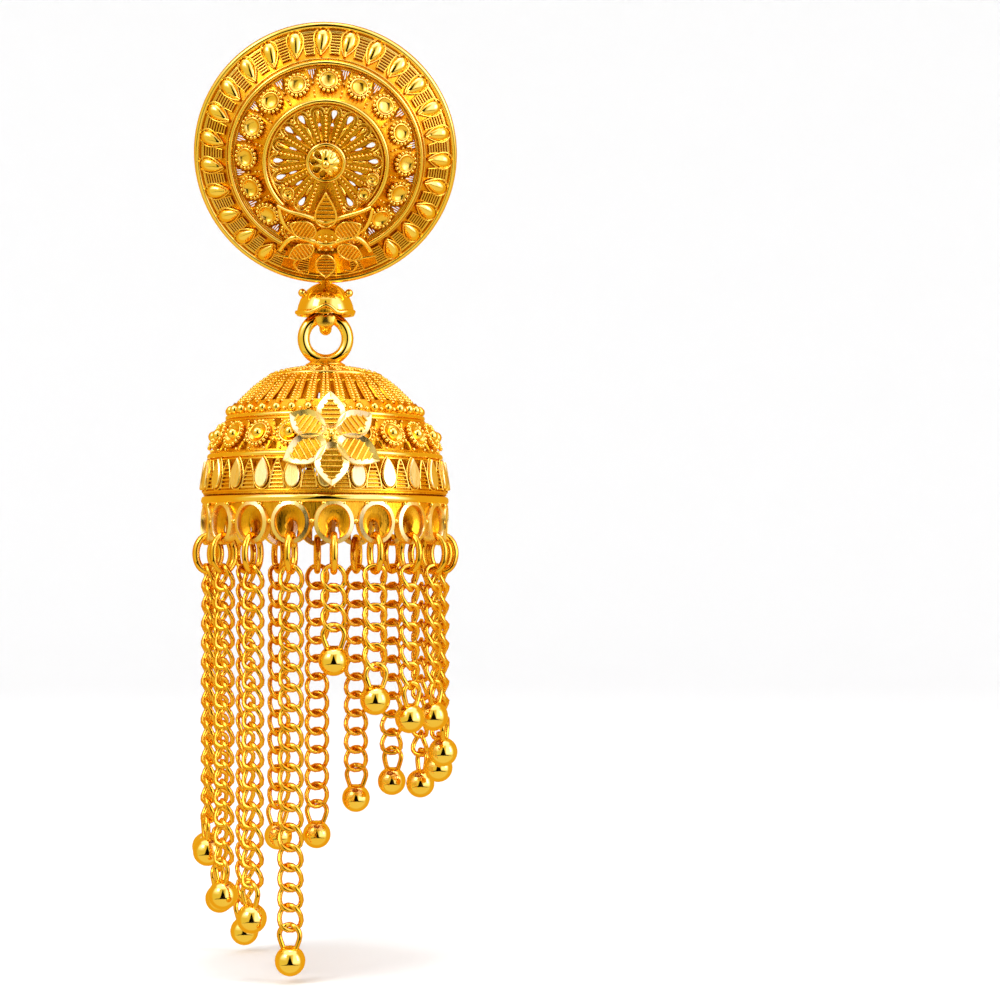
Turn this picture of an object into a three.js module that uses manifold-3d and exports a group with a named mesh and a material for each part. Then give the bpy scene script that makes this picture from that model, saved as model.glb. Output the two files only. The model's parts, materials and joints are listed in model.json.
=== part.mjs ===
// A gold jhumka drop earring: a stepped, pierced stud disc worn on an ear post,
// and a pierced bell dome that hangs free from it and carries a fringe of chains.
// Millimetres, +Z up. The stud's face looks towards -Y, and the origin is the point
// where the ear post leaves the back pad of the stud.

import * as THREE from 'three';
import { mergeVertices } from 'three/addons/utils/BufferGeometryUtils.js';
import Module from 'manifold-3d';

const wasm = await Module();
wasm.setup();

// Clearances
const solderGap = 0.1;         // between two pieces that are soldered on the real earring
const seatGap = 0.3;           // between pieces of the leaning stud
const linkPlay = 0.1;          // between two rings that hang in each other

// Stud disc, as radii about its axis and depths in front of its back plane
const discRadius = 12.0;
const discWall = 0.5;
const edgeFall = 0.15;         // how far the edge of a flat crest is rounded off
const rimDepth = 1.1;
const rimWidth = 0.55;
const midRingRadius = 8.67;
const midRingDepth = 3.05;
const innerRingRadius = 5.52;
const innerRingDepth = 4.9;
const ringWidth = 0.34;        // crest of the two raised rings
const ringDrop = 0.75;         // from a ring's crest down to the field outside it
const outerFieldDrop = 0.3;    // from the rim's crest down to the field inside it
const midFieldDrop = 0.45;     // from the middle ring's crest down to the field inside it
const hubDepth = 4.2;
const hubExtra = 0.1;          // how much thicker the hub's wall is than the rest
const rimLap = 0.1;            // how far the rim's flat back reaches in past the rim
const studLean = THREE.MathUtils.degToRad(19.5);   // the top of the disc leans forward

// Stud relief and piercing
const tearCount = 27;
const tearLength = 1.9;
const tearWidth = 1.0;
const reliefHeight = 0.3;
const reliefSink = 0.2;        // how far a raised form reaches down into its wall
const studRosettes = 16;
const rosetteRadius = 1.22;
const rosetteHeight = 0.42;
const rosetteGap = 0.75;
const spokeCount = 18;
const spokeWidth = 0.5;        // metal left between two gaps at the boss
const hubGapLength = 1.9;
const hubGapInset = 0.25;      // metal between the hub gaps and the inner ring

// Boss at the middle of the stud
const bossRadius = 1.84;
const bossHeight = 1.3;
const bossRim = 0.35;          // height of the boss's rim at its outside
const bossLip = 0.5;           // height of the rim's crest
const bossMoat = 0.3;          // height of the groove inside the rim
const bossBall = 0.42;

// Six-petal flowers, one on the stud and one on the dome
const studFlowerRise = 4.9;    // centre of the stud's flower, above the disc's lowest point
const studFlowerLow = discRadius - studFlowerRise;
const studFlowerDepth = 4.0;   // depth of its underside at that centre
const studFlowerPitch = THREE.MathUtils.degToRad(23);   // it leans with the disc's steps
const studPetal = 4.1;
const studPetalWidth = 2.7;
const domePetal = 4.4;
const domePetalWidth = 2.9;
const domeFlowerAside = 0.5;
const domeFlowerHeight = 4.7;  // centre of the dome's flower, above the dome's foot
const flowerThick = 0.5;
const knobFoot = 0.62;         // radii and heights of the knob on a flower's middle
const knobTop = 0.5;
const knobShoulder = 0.35;
const knobHeight = 0.5;
const flowerLift = 0.35;       // underside of the dome's flower above the dome's skin
const petalCount = 6;

// Ear post
const padRadius = 2.6;
const padThick = 0.7;
const stemRadius = 1.1;
const postRadius = 0.42;
const postLength = 10.5;
const postPoint = 0.5;         // length of the tapered tip

// Hood with the hanger eye
const hoodRadius = 2.75;
const hoodHeight = 3.1;
const hoodWall = 0.4;
const hoodBall = 0.39;
const hoodBallAside = 2.16;
const hoodBallForward = 0.55;
const eyeWire = 1.16;          // wire diameter
const eyeWidth = 2.7;          // between wire centres, front to back
const eyeDrop = 1.05;          // from the hood's foot down to the eye's lowest wire centre

// Drop ring and its cap
const ringWire = 1.13;
const ringOuter = 5.2;         // outside diameter
const capRadius = 1.85;
const capHeight = 0.75;

// Dome, as radii of its outer skin and heights above its foot
const domeWall = 0.45;
const domeFootRadius = 11.25;
const domeHeight = 11.9;
const bandProud = 0.22;
const bandTall = 0.4;
const bandLedge = 0.02;        // how far a band's upper edge is let into the skin
const domeSlots = 12;
const slotLength = 1.9;
const slotWidth = 1.3;
const domeRosettes = 20;
const domeRosetteRadius = 1.2;
const domeRosetteGap = 0.95;
const leafCount = 24;
const leafLength = 2.5;
const leafWidth = 0.95;
const leafGapLength = 1.3;
const leafGapWidth = 0.6;

// Base band with its loops
const baseBandTall = 0.75;
const baseBandProud = 0.2;     // how far the band stands out past the dome's foot
const baseBandRadius = domeFootRadius + baseBandProud;
const baseBandWall = 0.8;
const loopCount = 18;
const loopSides = 10;
const loopTurn = THREE.MathUtils.degToRad(4);      // first loop, turned from the front
const loopInner = 2.75;        // hole diameter
const loopWall = 0.42;
const loopStretch = 1.1;       // how much taller than wide a loop is
const loopDeep = 0.9;
const loopInset = 0.5;         // from the band's outside in to the circle of loops
const loopCircle = baseBandRadius - loopInset;

// Jump rings and chains
const jumpWire = 0.62;
const jumpLong = 3.9;          // outside length
const jumpWide = 2.9;          // outside width
const linkPitch = 1.76;
const chainWidth = 2.1;
const lastLink = 2.1;          // the larger link that holds the ball
const ballRadius = 1.35;
const stepDiameters = 3;       // a tube has one step for this many of its diameters

// Sides of turned forms that are small or plain
const plainSides = 12;
const smallSides = 10;

// Links in each chain, going round the dome from the first loop
const chainLinks = [3, 5, 6, 6, 8, 9, 10, 10, 11, 13, 13, 18, 16, 13, 13, 15, 16, 18];

// Dome skin, from the foot up: share of the foot radius, share of the dome's height.
// A row of the kind band carries a raised band.
const domeSkin = [
  { name: 'foot', kind: 'edge', radius: 1.0, height: 0.0 },
  { name: 'leafTop', kind: 'band', radius: 0.947, height: 0.297 },
  { name: 'rosetteTop', kind: 'band', radius: 0.8, height: 0.6 },
  { name: 'shoulder', kind: 'plain', radius: 0.662, height: 0.775 },
  { name: 'crown', kind: 'band', radius: 0.452, height: 0.935 },
  { name: 'top', kind: 'plain', radius: 0.165, height: 1.0 },
];

const gold = { color: 0xe8a33d, roughness: 0.22, metalness: 1.0 };

function goldMaterial(shade) {
  const color = new THREE.Color(gold.color).multiplyScalar(shade);
  return new THREE.MeshStandardMaterial({ color, roughness: gold.roughness, metalness: gold.metalness });
}

// Solids

function solidOf(geometry, place) {
  const bare = geometry.index ? geometry.toNonIndexed() : geometry.clone();
  bare.deleteAttribute('normal');
  bare.deleteAttribute('uv');
  if (place) bare.applyMatrix4(place);
  const merged = mergeVertices(bare, 1e-4);
  const triangles = [];
  const index = merged.index.array;
  for (let i = 0; i < index.length; i += 3) {
    const [a, b, c] = [index[i], index[i + 1], index[i + 2]];
    if (a !== b && b !== c && c !== a) triangles.push(a, b, c);
  }
  return new wasm.Manifold(new wasm.Mesh({
    numProp: 3,
    vertProperties: new Float32Array(merged.attributes.position.array),
    triVerts: new Uint32Array(triangles),
  }));
}

function joined(solids) {
  return solids.reduce((whole, solid) => whole.add(solid));
}

function cutBy(solid, tools) {
  return tools.length ? solid.subtract(joined(tools)) : solid;
}

function meshOf(name, solid, shade) {
  const raw = solid.getMesh();
  const geometry = new THREE.BufferGeometry();
  geometry.setAttribute('position', new THREE.BufferAttribute(new Float32Array(raw.vertProperties), 3));
  geometry.setIndex(new THREE.BufferAttribute(new Uint32Array(raw.triVerts), 1));
  geometry.computeVertexNormals();
  const mesh = new THREE.Mesh(geometry, goldMaterial(shade));
  mesh.name = name;
  return mesh;
}

// A turned solid whose first flat side, not its first edge, faces the front
function lathe(rows, sides) {
  return new THREE.LatheGeometry(rows.map(([r, z]) => new THREE.Vector2(r, z)), sides, Math.PI / sides);
}

// A lathe turns about +Y, so this stands it up along +Z
const upright = new THREE.Matrix4().makeRotationX(Math.PI / 2);

function outlineOf(points) {
  return new THREE.Shape(points.map(([x, y]) => new THREE.Vector2(x, y)));
}

// A plate from depth low to depth high along its own +Z
function plate(points, low, high) {
  const geometry = new THREE.ExtrudeGeometry(outlineOf(points), { depth: high - low, bevelEnabled: false });
  return geometry.translate(0, 0, low);
}

// A teardrop round at its outer end (+y) and pointed at its inner end
function tearOutline(length, width) {
  const round = width / 2;
  const points = [[0, -length / 2]];
  for (const turn of [-10, 50, 130, 190]) {
    const angle = THREE.MathUtils.degToRad(turn);
    points.push([round * Math.cos(angle), length / 2 - round + round * Math.sin(angle)]);
  }
  return points;
}

function diamondOutline(length, width) {
  return [[0, -length / 2], [width / 2, 0], [0, length / 2], [-width / 2, 0]];
}

// A triangle with its point inwards
function pointOutline(length, width) {
  return [[0, -length / 2], [width / 2, length / 2], [-width / 2, length / 2]];
}

// A wedge whose wide end is the outer one
function wedgeOutline(length, outer, inner) {
  const [foot, head, half] = [inner / 2, outer / 2, length / 2];
  return [[-foot, -half], [foot, -half], [head, half], [-head, half]];
}

// A raised round seat with a sunk cup
function rosetteGeometry(radius) {
  const rows = [
    [0, -reliefSink],
    [radius, -reliefSink],
    [radius * 0.85, rosetteHeight],
    [0, rosetteHeight * 0.4],
  ];
  return lathe(rows, 8).applyMatrix4(upright);
}

// Stud frame: lathe depths run along +Y before they are turned to face -Y

function onDisc(angle, radius, depth, slope) {
  const outward = new THREE.Vector3(Math.sin(angle), 0, Math.cos(angle));
  const front = new THREE.Vector3(0, -1, 0);
  const along = new THREE.Vector3(Math.cos(angle), 0, -Math.sin(angle));
  const up = outward.clone().multiplyScalar(Math.cos(slope)).addScaledVector(front, -Math.sin(slope));
  const normal = front.clone().multiplyScalar(Math.cos(slope)).addScaledVector(outward, Math.sin(slope));
  const place = outward.multiplyScalar(radius).addScaledVector(front, depth);
  return new THREE.Matrix4().makeBasis(along, up, normal).setPosition(place);
}

const outerField = { inner: midRingRadius + ringWidth, outer: discRadius - rimWidth };
outerField.high = midRingDepth - ringDrop;
outerField.low = rimDepth - outerFieldDrop;
const midField = { inner: innerRingRadius + ringWidth, outer: midRingRadius - ringWidth };
midField.high = innerRingDepth - ringDrop;
midField.low = midRingDepth - midFieldDrop;

function fieldDepth(field, radius) {
  const share = (radius - field.inner) / (field.outer - field.inner);
  return THREE.MathUtils.lerp(field.high, field.low, share);
}

function fieldSlope(field) {
  return Math.atan2(field.high - field.low, field.outer - field.inner);
}

function discShell() {
  const front = [
    [0, hubDepth],
    [innerRingRadius - ringWidth, hubDepth - edgeFall],
    [innerRingRadius, innerRingDepth],
    [midField.inner, midField.high],
    [midField.outer, midField.low],
    [midRingRadius, midRingDepth],
    [outerField.inner, outerField.high],
    [outerField.outer, outerField.low],
    [discRadius - rimWidth * 0.7, rimDepth],
    [discRadius, rimDepth - edgeFall],
  ];
  const back = [
    [discRadius, 0],
    [discRadius - rimWidth - rimLap, 0],
    [outerField.inner, outerField.high - discWall],
    [midField.outer, midField.low - discWall],
    [midField.inner, midField.high - discWall],
    [0, hubDepth - discWall - hubExtra],
  ];
  const turned = new THREE.Matrix4().makeRotationX(Math.PI);
  return solidOf(lathe([...back.reverse(), ...front.reverse()], tearCount), turned);
}

function ring(count, make) {
  return Array.from({ length: count }, (_, i) => make((i * 2 * Math.PI) / count, i));
}

// The stud's flower hides this many degrees each side of straight down
const flowerHides = THREE.MathUtils.degToRad(26);

function clearOfFlower(angle) {
  return Math.abs(Math.abs(THREE.MathUtils.euclideanModulo(angle, 2 * Math.PI)) - Math.PI) > flowerHides;
}

function discRelief() {
  const parts = [];
  const tearMid = (outerField.inner + outerField.outer) / 2;
  const tear = plate(tearOutline(tearLength, tearWidth), -reliefSink, reliefHeight);
  const tearSlope = fieldSlope(outerField);
  for (const angle of ring(tearCount, (a) => a)) {
    parts.push(solidOf(tear, onDisc(angle, tearMid, fieldDepth(outerField, tearMid), tearSlope)));
  }
  const rosetteMid = (midField.inner + midField.outer) / 2;
  const rosette = rosetteGeometry(rosetteRadius);
  for (const angle of ring(studRosettes, (a) => a)) {
    if (!clearOfFlower(angle)) continue;
    const place = onDisc(angle, rosetteMid, fieldDepth(midField, rosetteMid), fieldSlope(midField));
    parts.push(solidOf(rosette, place));
  }
  return parts;
}

function discGaps() {
  const tools = [];
  const deep = midRingDepth + innerRingDepth;
  const cornerOut = midField.outer - rosetteGap * 0.55;
  const corner = plate(pointOutline(rosetteGap, rosetteGap * 1.3), -deep, deep);
  for (const angle of ring(studRosettes, (a) => a + Math.PI / studRosettes)) {
    if (!clearOfFlower(angle)) continue;
    tools.push(solidOf(corner, onDisc(angle, cornerOut, 0, 0)));
  }
  const hubOut = innerRingRadius - ringWidth - hubGapLength / 2 - hubGapInset;
  const widthAt = (radius) => (2 * Math.PI * radius) / spokeCount - spokeWidth;
  const [wide, narrow] = [widthAt(hubOut + hubGapLength / 2), widthAt(hubOut - hubGapLength / 2)];
  const hub = plate(wedgeOutline(hubGapLength, wide, narrow), -deep, deep);
  for (const angle of ring(spokeCount, (a) => a + Math.PI / spokeCount)) {
    if (!clearOfFlower(angle)) continue;
    tools.push(solidOf(hub, onDisc(angle, hubOut, 0, 0)));
  }
  return tools;
}

// Flowers

// One outline round all the petals, pointed at each tip
function flowerOutline(length, width) {
  const waist = width * 0.42;
  const profile = [
    { out: 0.15, side: 0.6 },
    { out: 0.5, side: 1.0 },
    { out: 0.85, side: 0.68 },
  ];
  const points = [];
  ring(petalCount, (angle) => {
    const spin = (out, side) => {
      const x = side * Math.cos(angle) + out * Math.sin(angle);
      const y = -side * Math.sin(angle) + out * Math.cos(angle);
      points.push([x, y]);
    };
    for (const row of profile) {
      spin(waist + (length - waist) * row.out, -row.side * width / 2);
    }
    spin(length, 0);
    for (const row of [...profile].reverse()) {
      spin(waist + (length - waist) * row.out, row.side * width / 2);
    }
  });
  return points.reverse();
}

function flowerSolid(length, width) {
  const body = solidOf(plate(flowerOutline(length, width), 0, flowerThick));
  const rows = [
    [0, flowerThick / 2],
    [knobFoot, flowerThick / 2],
    [knobTop, flowerThick + knobShoulder],
    [0, flowerThick + knobHeight],
  ];
  return body.add(solidOf(lathe(rows, smallSides), upright));
}

// Moves each corner of a solid to a place of its own
function bent(solid, move) {
  const raw = solid.getMesh();
  const moved = new Float32Array(raw.vertProperties);
  const point = new THREE.Vector3();
  for (let i = 0; i < moved.length; i += 3) {
    move(point.fromArray(moved, i)).toArray(moved, i);
  }
  return new wasm.Manifold(new wasm.Mesh({ numProp: 3, vertProperties: moved, triVerts: raw.triVerts }));
}

const studFlowerPlace = onDisc(Math.PI, studFlowerLow, studFlowerDepth, studFlowerPitch)
  .multiply(new THREE.Matrix4().makeRotationZ(Math.PI));

// The disc is sunk under the flower, so the flower lies clear of its raised rings
function flowerSeat() {
  const [reach, tall] = [studPetal + seatGap, rimDepth * 4];
  const rows = [[0, -seatGap], [reach, -seatGap], [reach, tall], [0, tall]];
  return solidOf(lathe(rows, plainSides).applyMatrix4(upright), studFlowerPlace);
}

// Pieces of the stud

const stud = new THREE.Group();
stud.rotation.x = studLean;

function studDisc() {
  const relief = joined([discShell(), ...discRelief()]);
  return meshOf('stud_disc', cutBy(relief, [...discGaps(), flowerSeat()]), 1.0);
}

function studBoss() {
  const foot = hubDepth + solderGap * 2;
  const rows = [
    [0, foot],
    [bossRadius, foot],
    [bossRadius, foot + bossRim],
    [bossRadius * 0.8, foot + bossLip],
    [bossRadius * 0.7, foot + bossMoat],
    [bossRadius * 0.55, foot + bossHeight * 0.62],
    [bossRadius * 0.3, foot + bossHeight * 0.85],
    [0, foot + bossHeight],
  ];
  const turned = new THREE.Matrix4().makeRotationX(Math.PI);
  const cap = solidOf(lathe(rows, smallSides), turned);
  const ball = solidOf(new THREE.SphereGeometry(bossBall, smallSides, 4),
    new THREE.Matrix4().makeTranslation(0, -(foot + bossHeight), 0));
  return meshOf('stud_boss', cap.add(ball), 1.05);
}

function studFlower() {
  const flower = flowerSolid(studPetal, studPetalWidth);
  const raw = bent(flower, (point) => point.applyMatrix4(studFlowerPlace));
  return meshOf('stud_flower', raw, 1.05);
}

function earPost() {
  const hubBack = hubDepth - discWall - hubExtra;
  const rows = [
    [0, postLength],
    [postRadius * 0.6, postLength],
    [postRadius, postLength - postPoint],
    [postRadius, 0],
    [padRadius, 0],
    [padRadius, -padThick],
    [stemRadius, -padThick],
    [stemRadius, -(hubBack - seatGap)],
    [0, -(hubBack - seatGap)],
  ];
  return meshOf('ear_post', solidOf(lathe([...rows].reverse(), plainSides)), 0.9);
}

// Where the hood and the drop hang, below the leaning disc's lowest point

const rimLow = discRadius * Math.cos(studLean) + rimDepth * Math.sin(studLean);
const hangY = discRadius * Math.sin(studLean) - (rimDepth / 2) * Math.cos(studLean);
const hoodTop = -(rimLow + solderGap);
const hoodFoot = hoodTop - hoodHeight;

const ringRadius = (ringOuter - ringWire) / 2;
const eyeLow = hoodFoot - eyeDrop;
const ringHigh = eyeLow + eyeWire / 2 + linkPlay + ringWire / 2;
const ringCentre = ringHigh - ringRadius;

function hood() {
  const shell = [];
  const steps = 3;
  for (let i = 0; i <= steps; i += 1) {
    const turn = (i / steps) * (Math.PI / 2);
    shell.push([hoodRadius * Math.sin(turn), hoodFoot + hoodHeight * Math.cos(turn)]);
  }
  for (let i = steps; i >= 0; i -= 1) {
    const turn = (i / steps) * (Math.PI / 2);
    const high = (hoodHeight - hoodWall) * Math.cos(turn);
    shell.push([(hoodRadius - hoodWall) * Math.sin(turn), hoodFoot + high]);
  }
  const place = new THREE.Matrix4().makeTranslation(0, hangY, 0).multiply(upright);
  const cup = solidOf(lathe(shell.reverse(), plainSides), place);
  const eyeTall = (hoodTop - hoodWall / 2 - eyeLow) / 2;
  const balls = [-1, 1].map((side) => {
    const turn = Math.asin(hoodBallAside / hoodRadius);
    const high = hoodFoot + hoodHeight * Math.cos(turn) + hoodBall * 0.35;
    const spot = new THREE.Matrix4().makeTranslation(side * hoodBallAside, hangY - hoodBallForward, high);
    return solidOf(new THREE.SphereGeometry(hoodBall, smallSides, 3), spot);
  });
  return meshOf('hood', joined([cup, solidOf(eyeRing(eyeTall)), ...balls]), 0.98);
}

// A round wire bent into a closed oval in the YZ plane, centred on the hanging line
function ovalWire(wide, tall, wire, sides, steps) {
  const section = [];
  for (let i = 0; i < sides; i += 1) {
    const turn = (i / sides) * 2 * Math.PI;
    section.push([(wire / 2) * Math.cos(turn), (wire / 2) * Math.sin(turn)]);
  }
  const points = [];
  for (let i = 0; i < steps; i += 1) {
    const turn = (i / steps) * 2 * Math.PI;
    points.push({ turn, y: (wide / 2) * Math.sin(turn), z: (tall / 2) * Math.cos(turn) });
  }
  const position = [];
  for (const { turn, y, z } of points) {
    const out = new THREE.Vector2(Math.sin(turn) / wide, Math.cos(turn) / tall).normalize();
    for (const [across, outward] of section) {
      position.push(across, y + outward * out.x, z + outward * out.y);
    }
  }
  const index = [];
  for (let i = 0; i < steps; i += 1) {
    const next = (i + 1) % steps;
    for (let j = 0; j < sides; j += 1) {
      const side = (j + 1) % sides;
      const [a, b] = [i * sides + j, i * sides + side];
      const [c, d] = [next * sides + j, next * sides + side];
      index.push(a, d, b, a, c, d);
    }
  }
  const geometry = new THREE.BufferGeometry();
  geometry.setAttribute('position', new THREE.Float32BufferAttribute(position, 3));
  geometry.setIndex(index);
  return geometry;
}

function eyeRing(half) {
  return ovalWire(eyeWidth, half * 2, eyeWire, 6, 10).translate(0, hangY, eyeLow + half);
}

// Pieces of the drop, in a group that hangs plumb under the hood

const drop = new THREE.Group();
drop.position.set(0, hangY, 0);

const capTop = ringCentre - ringRadius + ringWire * 0.15;
const domeTop = capTop - capHeight - solderGap;
const domeFoot = domeTop - domeHeight;

function dropRing() {
  const hoop = solidOf(new THREE.TorusGeometry(ringRadius, ringWire / 2, 6, 16),
    new THREE.Matrix4().makeRotationX(Math.PI / 2).setPosition(0, 0, ringCentre));
  const capFoot = capTop - capHeight;
  const rows = [[0, capFoot], [capRadius, capFoot], [capRadius * 0.8, capTop], [0, capTop]];
  return meshOf('drop_ring', hoop.add(solidOf(lathe(rows, plainSides).applyMatrix4(upright))), 1.0);
}

// The dome's outer skin in millimetres, row by row
const skinRows = domeSkin.map(({ name, kind, radius, height }) => (
  { name, kind, radius: radius * domeFootRadius, height: domeFoot + height * domeHeight }));

function skinAt(name) {
  return skinRows.find((row) => row.name === name);
}

// Radius of the dome's outer skin at a height, and the lean of the skin there
function skinNear(height) {
  const above = skinRows.findIndex((row, i) => i > 0 && (row.height >= height || i === skinRows.length - 1));
  const [low, high] = [skinRows[above - 1], skinRows[above]];
  const share = (height - low.height) / (high.height - low.height);
  const radius = THREE.MathUtils.lerp(low.radius, high.radius, share);
  return { radius, lean: Math.atan2(low.radius - high.radius, high.height - low.height) };
}

function onDome(angle, height) {
  const { radius, lean } = skinNear(height);
  const outward = new THREE.Vector3(Math.sin(angle), -Math.cos(angle), 0);
  const along = new THREE.Vector3(Math.cos(angle), Math.sin(angle), 0);
  const plumb = new THREE.Vector3(0, 0, 1);
  const up = plumb.clone().multiplyScalar(Math.cos(lean)).addScaledVector(outward, -Math.sin(lean));
  const normal = outward.clone().multiplyScalar(Math.cos(lean)).addScaledVector(plumb, Math.sin(lean));
  const place = outward.multiplyScalar(radius).setZ(height);
  return new THREE.Matrix4().makeBasis(along, up, normal).setPosition(place);
}

function domeShell() {
  const outer = [];
  for (const { kind, radius, height } of skinRows) {
    if (kind === 'band') {
      const half = bandTall / 2;
      outer.push([radius, height - half], [radius + bandProud, height], [radius - bandLedge, height + half]);
    } else {
      outer.push([radius, height]);
    }
  }
  const inner = skinRows.filter(({ kind }) => kind !== 'plain').map(({ radius, height }) => {
    const { lean } = skinNear(height);
    return [radius - domeWall * Math.cos(lean), height - domeWall * Math.sin(lean)];
  });
  inner[0] = [domeFootRadius - domeWall, domeFoot];
  const rows = [[0, domeTop - domeWall], ...inner.reverse(), ...outer, [0, domeTop]];
  return solidOf(lathe(rows, leafCount).applyMatrix4(upright));
}

const leafMid = (skinAt('foot').height + skinAt('leafTop').height) / 2;
const rosetteRow = (skinAt('leafTop').height + skinAt('rosetteTop').height) / 2;
const slotMid = (skinAt('rosetteTop').height + skinAt('crown').height) / 2;

function domeRelief() {
  const parts = [];
  const leaf = plate(tearOutline(leafLength, leafWidth), -reliefSink, reliefHeight);
  for (const angle of ring(leafCount, (a) => a)) {
    parts.push(solidOf(leaf, onDome(angle, leafMid)));
  }
  const rosette = rosetteGeometry(domeRosetteRadius);
  for (const angle of ring(domeRosettes, (a) => a)) {
    parts.push(solidOf(rosette, onDome(angle, rosetteRow)));
  }
  return parts;
}

function domeGaps() {
  const tools = [];
  const deep = domeWall * 5;
  const leafHole = plate(pointOutline(leafGapLength, leafGapWidth), -deep, deep);
  for (const angle of ring(leafCount, (a) => a + Math.PI / leafCount)) {
    tools.push(solidOf(leafHole, onDome(angle, leafMid + leafLength * 0.16)));
  }
  const rosetteHole = plate(diamondOutline(domeRosetteGap * 1.6, domeRosetteGap * 0.7), -deep, deep);
  for (const angle of ring(domeRosettes, (a) => a + Math.PI / domeRosettes)) {
    tools.push(solidOf(rosetteHole, onDome(angle, rosetteRow)));
  }
  const slot = plate(wedgeOutline(slotLength, slotWidth * 0.75, slotWidth), -deep, deep);
  for (const angle of ring(domeSlots, (a) => a + Math.PI / domeSlots)) {
    tools.push(solidOf(slot, onDome(angle, slotMid)));
  }
  return tools;
}

function dome() {
  const raised = joined([domeShell(), ...domeRelief()]);
  return meshOf('dome', cutBy(raised, domeGaps()), 0.95);
}

// The flower is wrapped round the dome: x goes round it, y up its skin, z away from it
function domeFlower() {
  const centre = domeFoot + domeFlowerHeight;
  const wrapped = bent(flowerSolid(domePetal, domePetalWidth), (point) => {
    const spread = skinNear(centre).radius;
    const height = centre + point.y * Math.cos(skinNear(centre + point.y * 0.5).lean);
    const place = onDome((point.x + domeFlowerAside) / spread, height);
    return point.set(0, 0, point.z + flowerLift + reliefHeight).applyMatrix4(place);
  });
  return meshOf('dome_flower', wrapped, 1.08);
}

const bandTop = domeFoot - solderGap;
const loopOuter = loopInner / 2 + loopWall;
const loopCentre = bandTop - baseBandTall - loopOuter * loopStretch + loopWall * 0.5;

function loopPlace(i) {
  const angle = loopTurn + (i * 2 * Math.PI) / loopCount;
  const out = new THREE.Matrix4().makeTranslation(0, -loopCircle, 0);
  return new THREE.Matrix4().makeRotationZ(angle).multiply(out);
}

function loopRim() {
  const low = bandTop - baseBandTall;
  const rows = [
    [baseBandRadius - baseBandWall, low],
    [baseBandRadius - edgeFall, low],
    [baseBandRadius, (low + bandTop) / 2],
    [baseBandRadius - edgeFall, bandTop],
    [baseBandRadius - baseBandWall, bandTop],
    [baseBandRadius - baseBandWall, low],
  ];
  const band = solidOf(lathe(rows, leafCount).applyMatrix4(upright));
  const half = loopDeep / 2;
  const hole = loopInner / 2 / Math.cos(Math.PI / loopSides);   // its flats keep the round hole clear
  const section = [[hole, -half], [loopOuter, -half], [loopOuter, half], [hole, half], [hole, -half]];
  const hoop = lathe(section, loopSides);
  const loops = Array.from({ length: loopCount }, (_, i) => {
    const place = loopPlace(i).multiply(new THREE.Matrix4().makeTranslation(0, 0, loopCentre))
      .multiply(new THREE.Matrix4().makeScale(1, 1, loopStretch));
    return solidOf(hoop, place);
  });
  return meshOf('loop_rim', joined([band, ...loops]), 1.0);
}

// A jump ring hangs round its loop's lowest wire, at right angles to the loop

const loopLow = loopCentre - (loopInner / 2) * loopStretch;
const jumpHigh = loopLow + linkPlay + jumpWire;
const jumpFoot = jumpHigh - jumpLong;

function jumpRing(i) {
  const oval = ovalWire(jumpWide - jumpWire, jumpLong - jumpWire, jumpWire, 5, 10);
  oval.translate(0, 0, (jumpHigh + jumpFoot) / 2);
  return meshOf(`jump_ring_${String(i + 1).padStart(2, '0')}`, solidOf(oval, loopPlace(i)), 1.02);
}

function chain(i) {
  const top = jumpFoot - seatGap;
  const ballCentre = jumpFoot + jumpWire - chainLinks[i] * linkPitch - lastLink - ballRadius * 0.6;
  const length = top - ballCentre;
  const path = new THREE.LineCurve3(new THREE.Vector3(0, 0, ballCentre), new THREE.Vector3(0, 0, top));
  const section = new THREE.Shape();
  for (let side = 0; side < 8; side += 1) {
    const turn = ((side + 0.5) / 8) * 2 * Math.PI;
    const [x, y] = [(chainWidth / 2) * Math.cos(turn), (chainWidth / 2) * Math.sin(turn)];
    if (side === 0) section.moveTo(x, y);
    else section.lineTo(x, y);
  }
  section.closePath();
  const steps = Math.max(1, Math.round(length / (stepDiameters * chainWidth)));
  const tube = new THREE.ExtrudeGeometry(section, { steps, extrudePath: path, bevelEnabled: false });
  const ball = new THREE.SphereGeometry(ballRadius, smallSides, 4);
  ball.applyMatrix4(upright).translate(0, 0, ballCentre);
  const strand = solidOf(tube, loopPlace(i)).add(solidOf(ball, loopPlace(i)));
  return meshOf(`chain_${String(i + 1).padStart(2, '0')}`, strand, 0.97);
}

// Assembly

stud.add(studDisc(), studBoss(), studFlower(), earPost());
drop.add(dropRing(), dome(), loopRim(), domeFlower());
for (let i = 0; i < loopCount; i += 1) {
  drop.add(jumpRing(i), chain(i));
}

const earring = new THREE.Group();
earring.add(stud, hood(), drop);

export default earring;
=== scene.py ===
"""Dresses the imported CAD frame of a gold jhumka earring, and lights it for its picture.

Every pattern and piece is built in millimetres and turned into metres when it is finished. Front
is -Y, right is +X and up is +Z. Angles go round the bell in degrees, from the front towards +X,
and clockwise round the stud's disc, from its top.
"""
import json
import logging
import math
import random
from dataclasses import dataclass, field
from enum import Enum
from typing import Callable, Iterable

import bmesh
import bpy
from mathutils import Matrix, Vector


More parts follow.
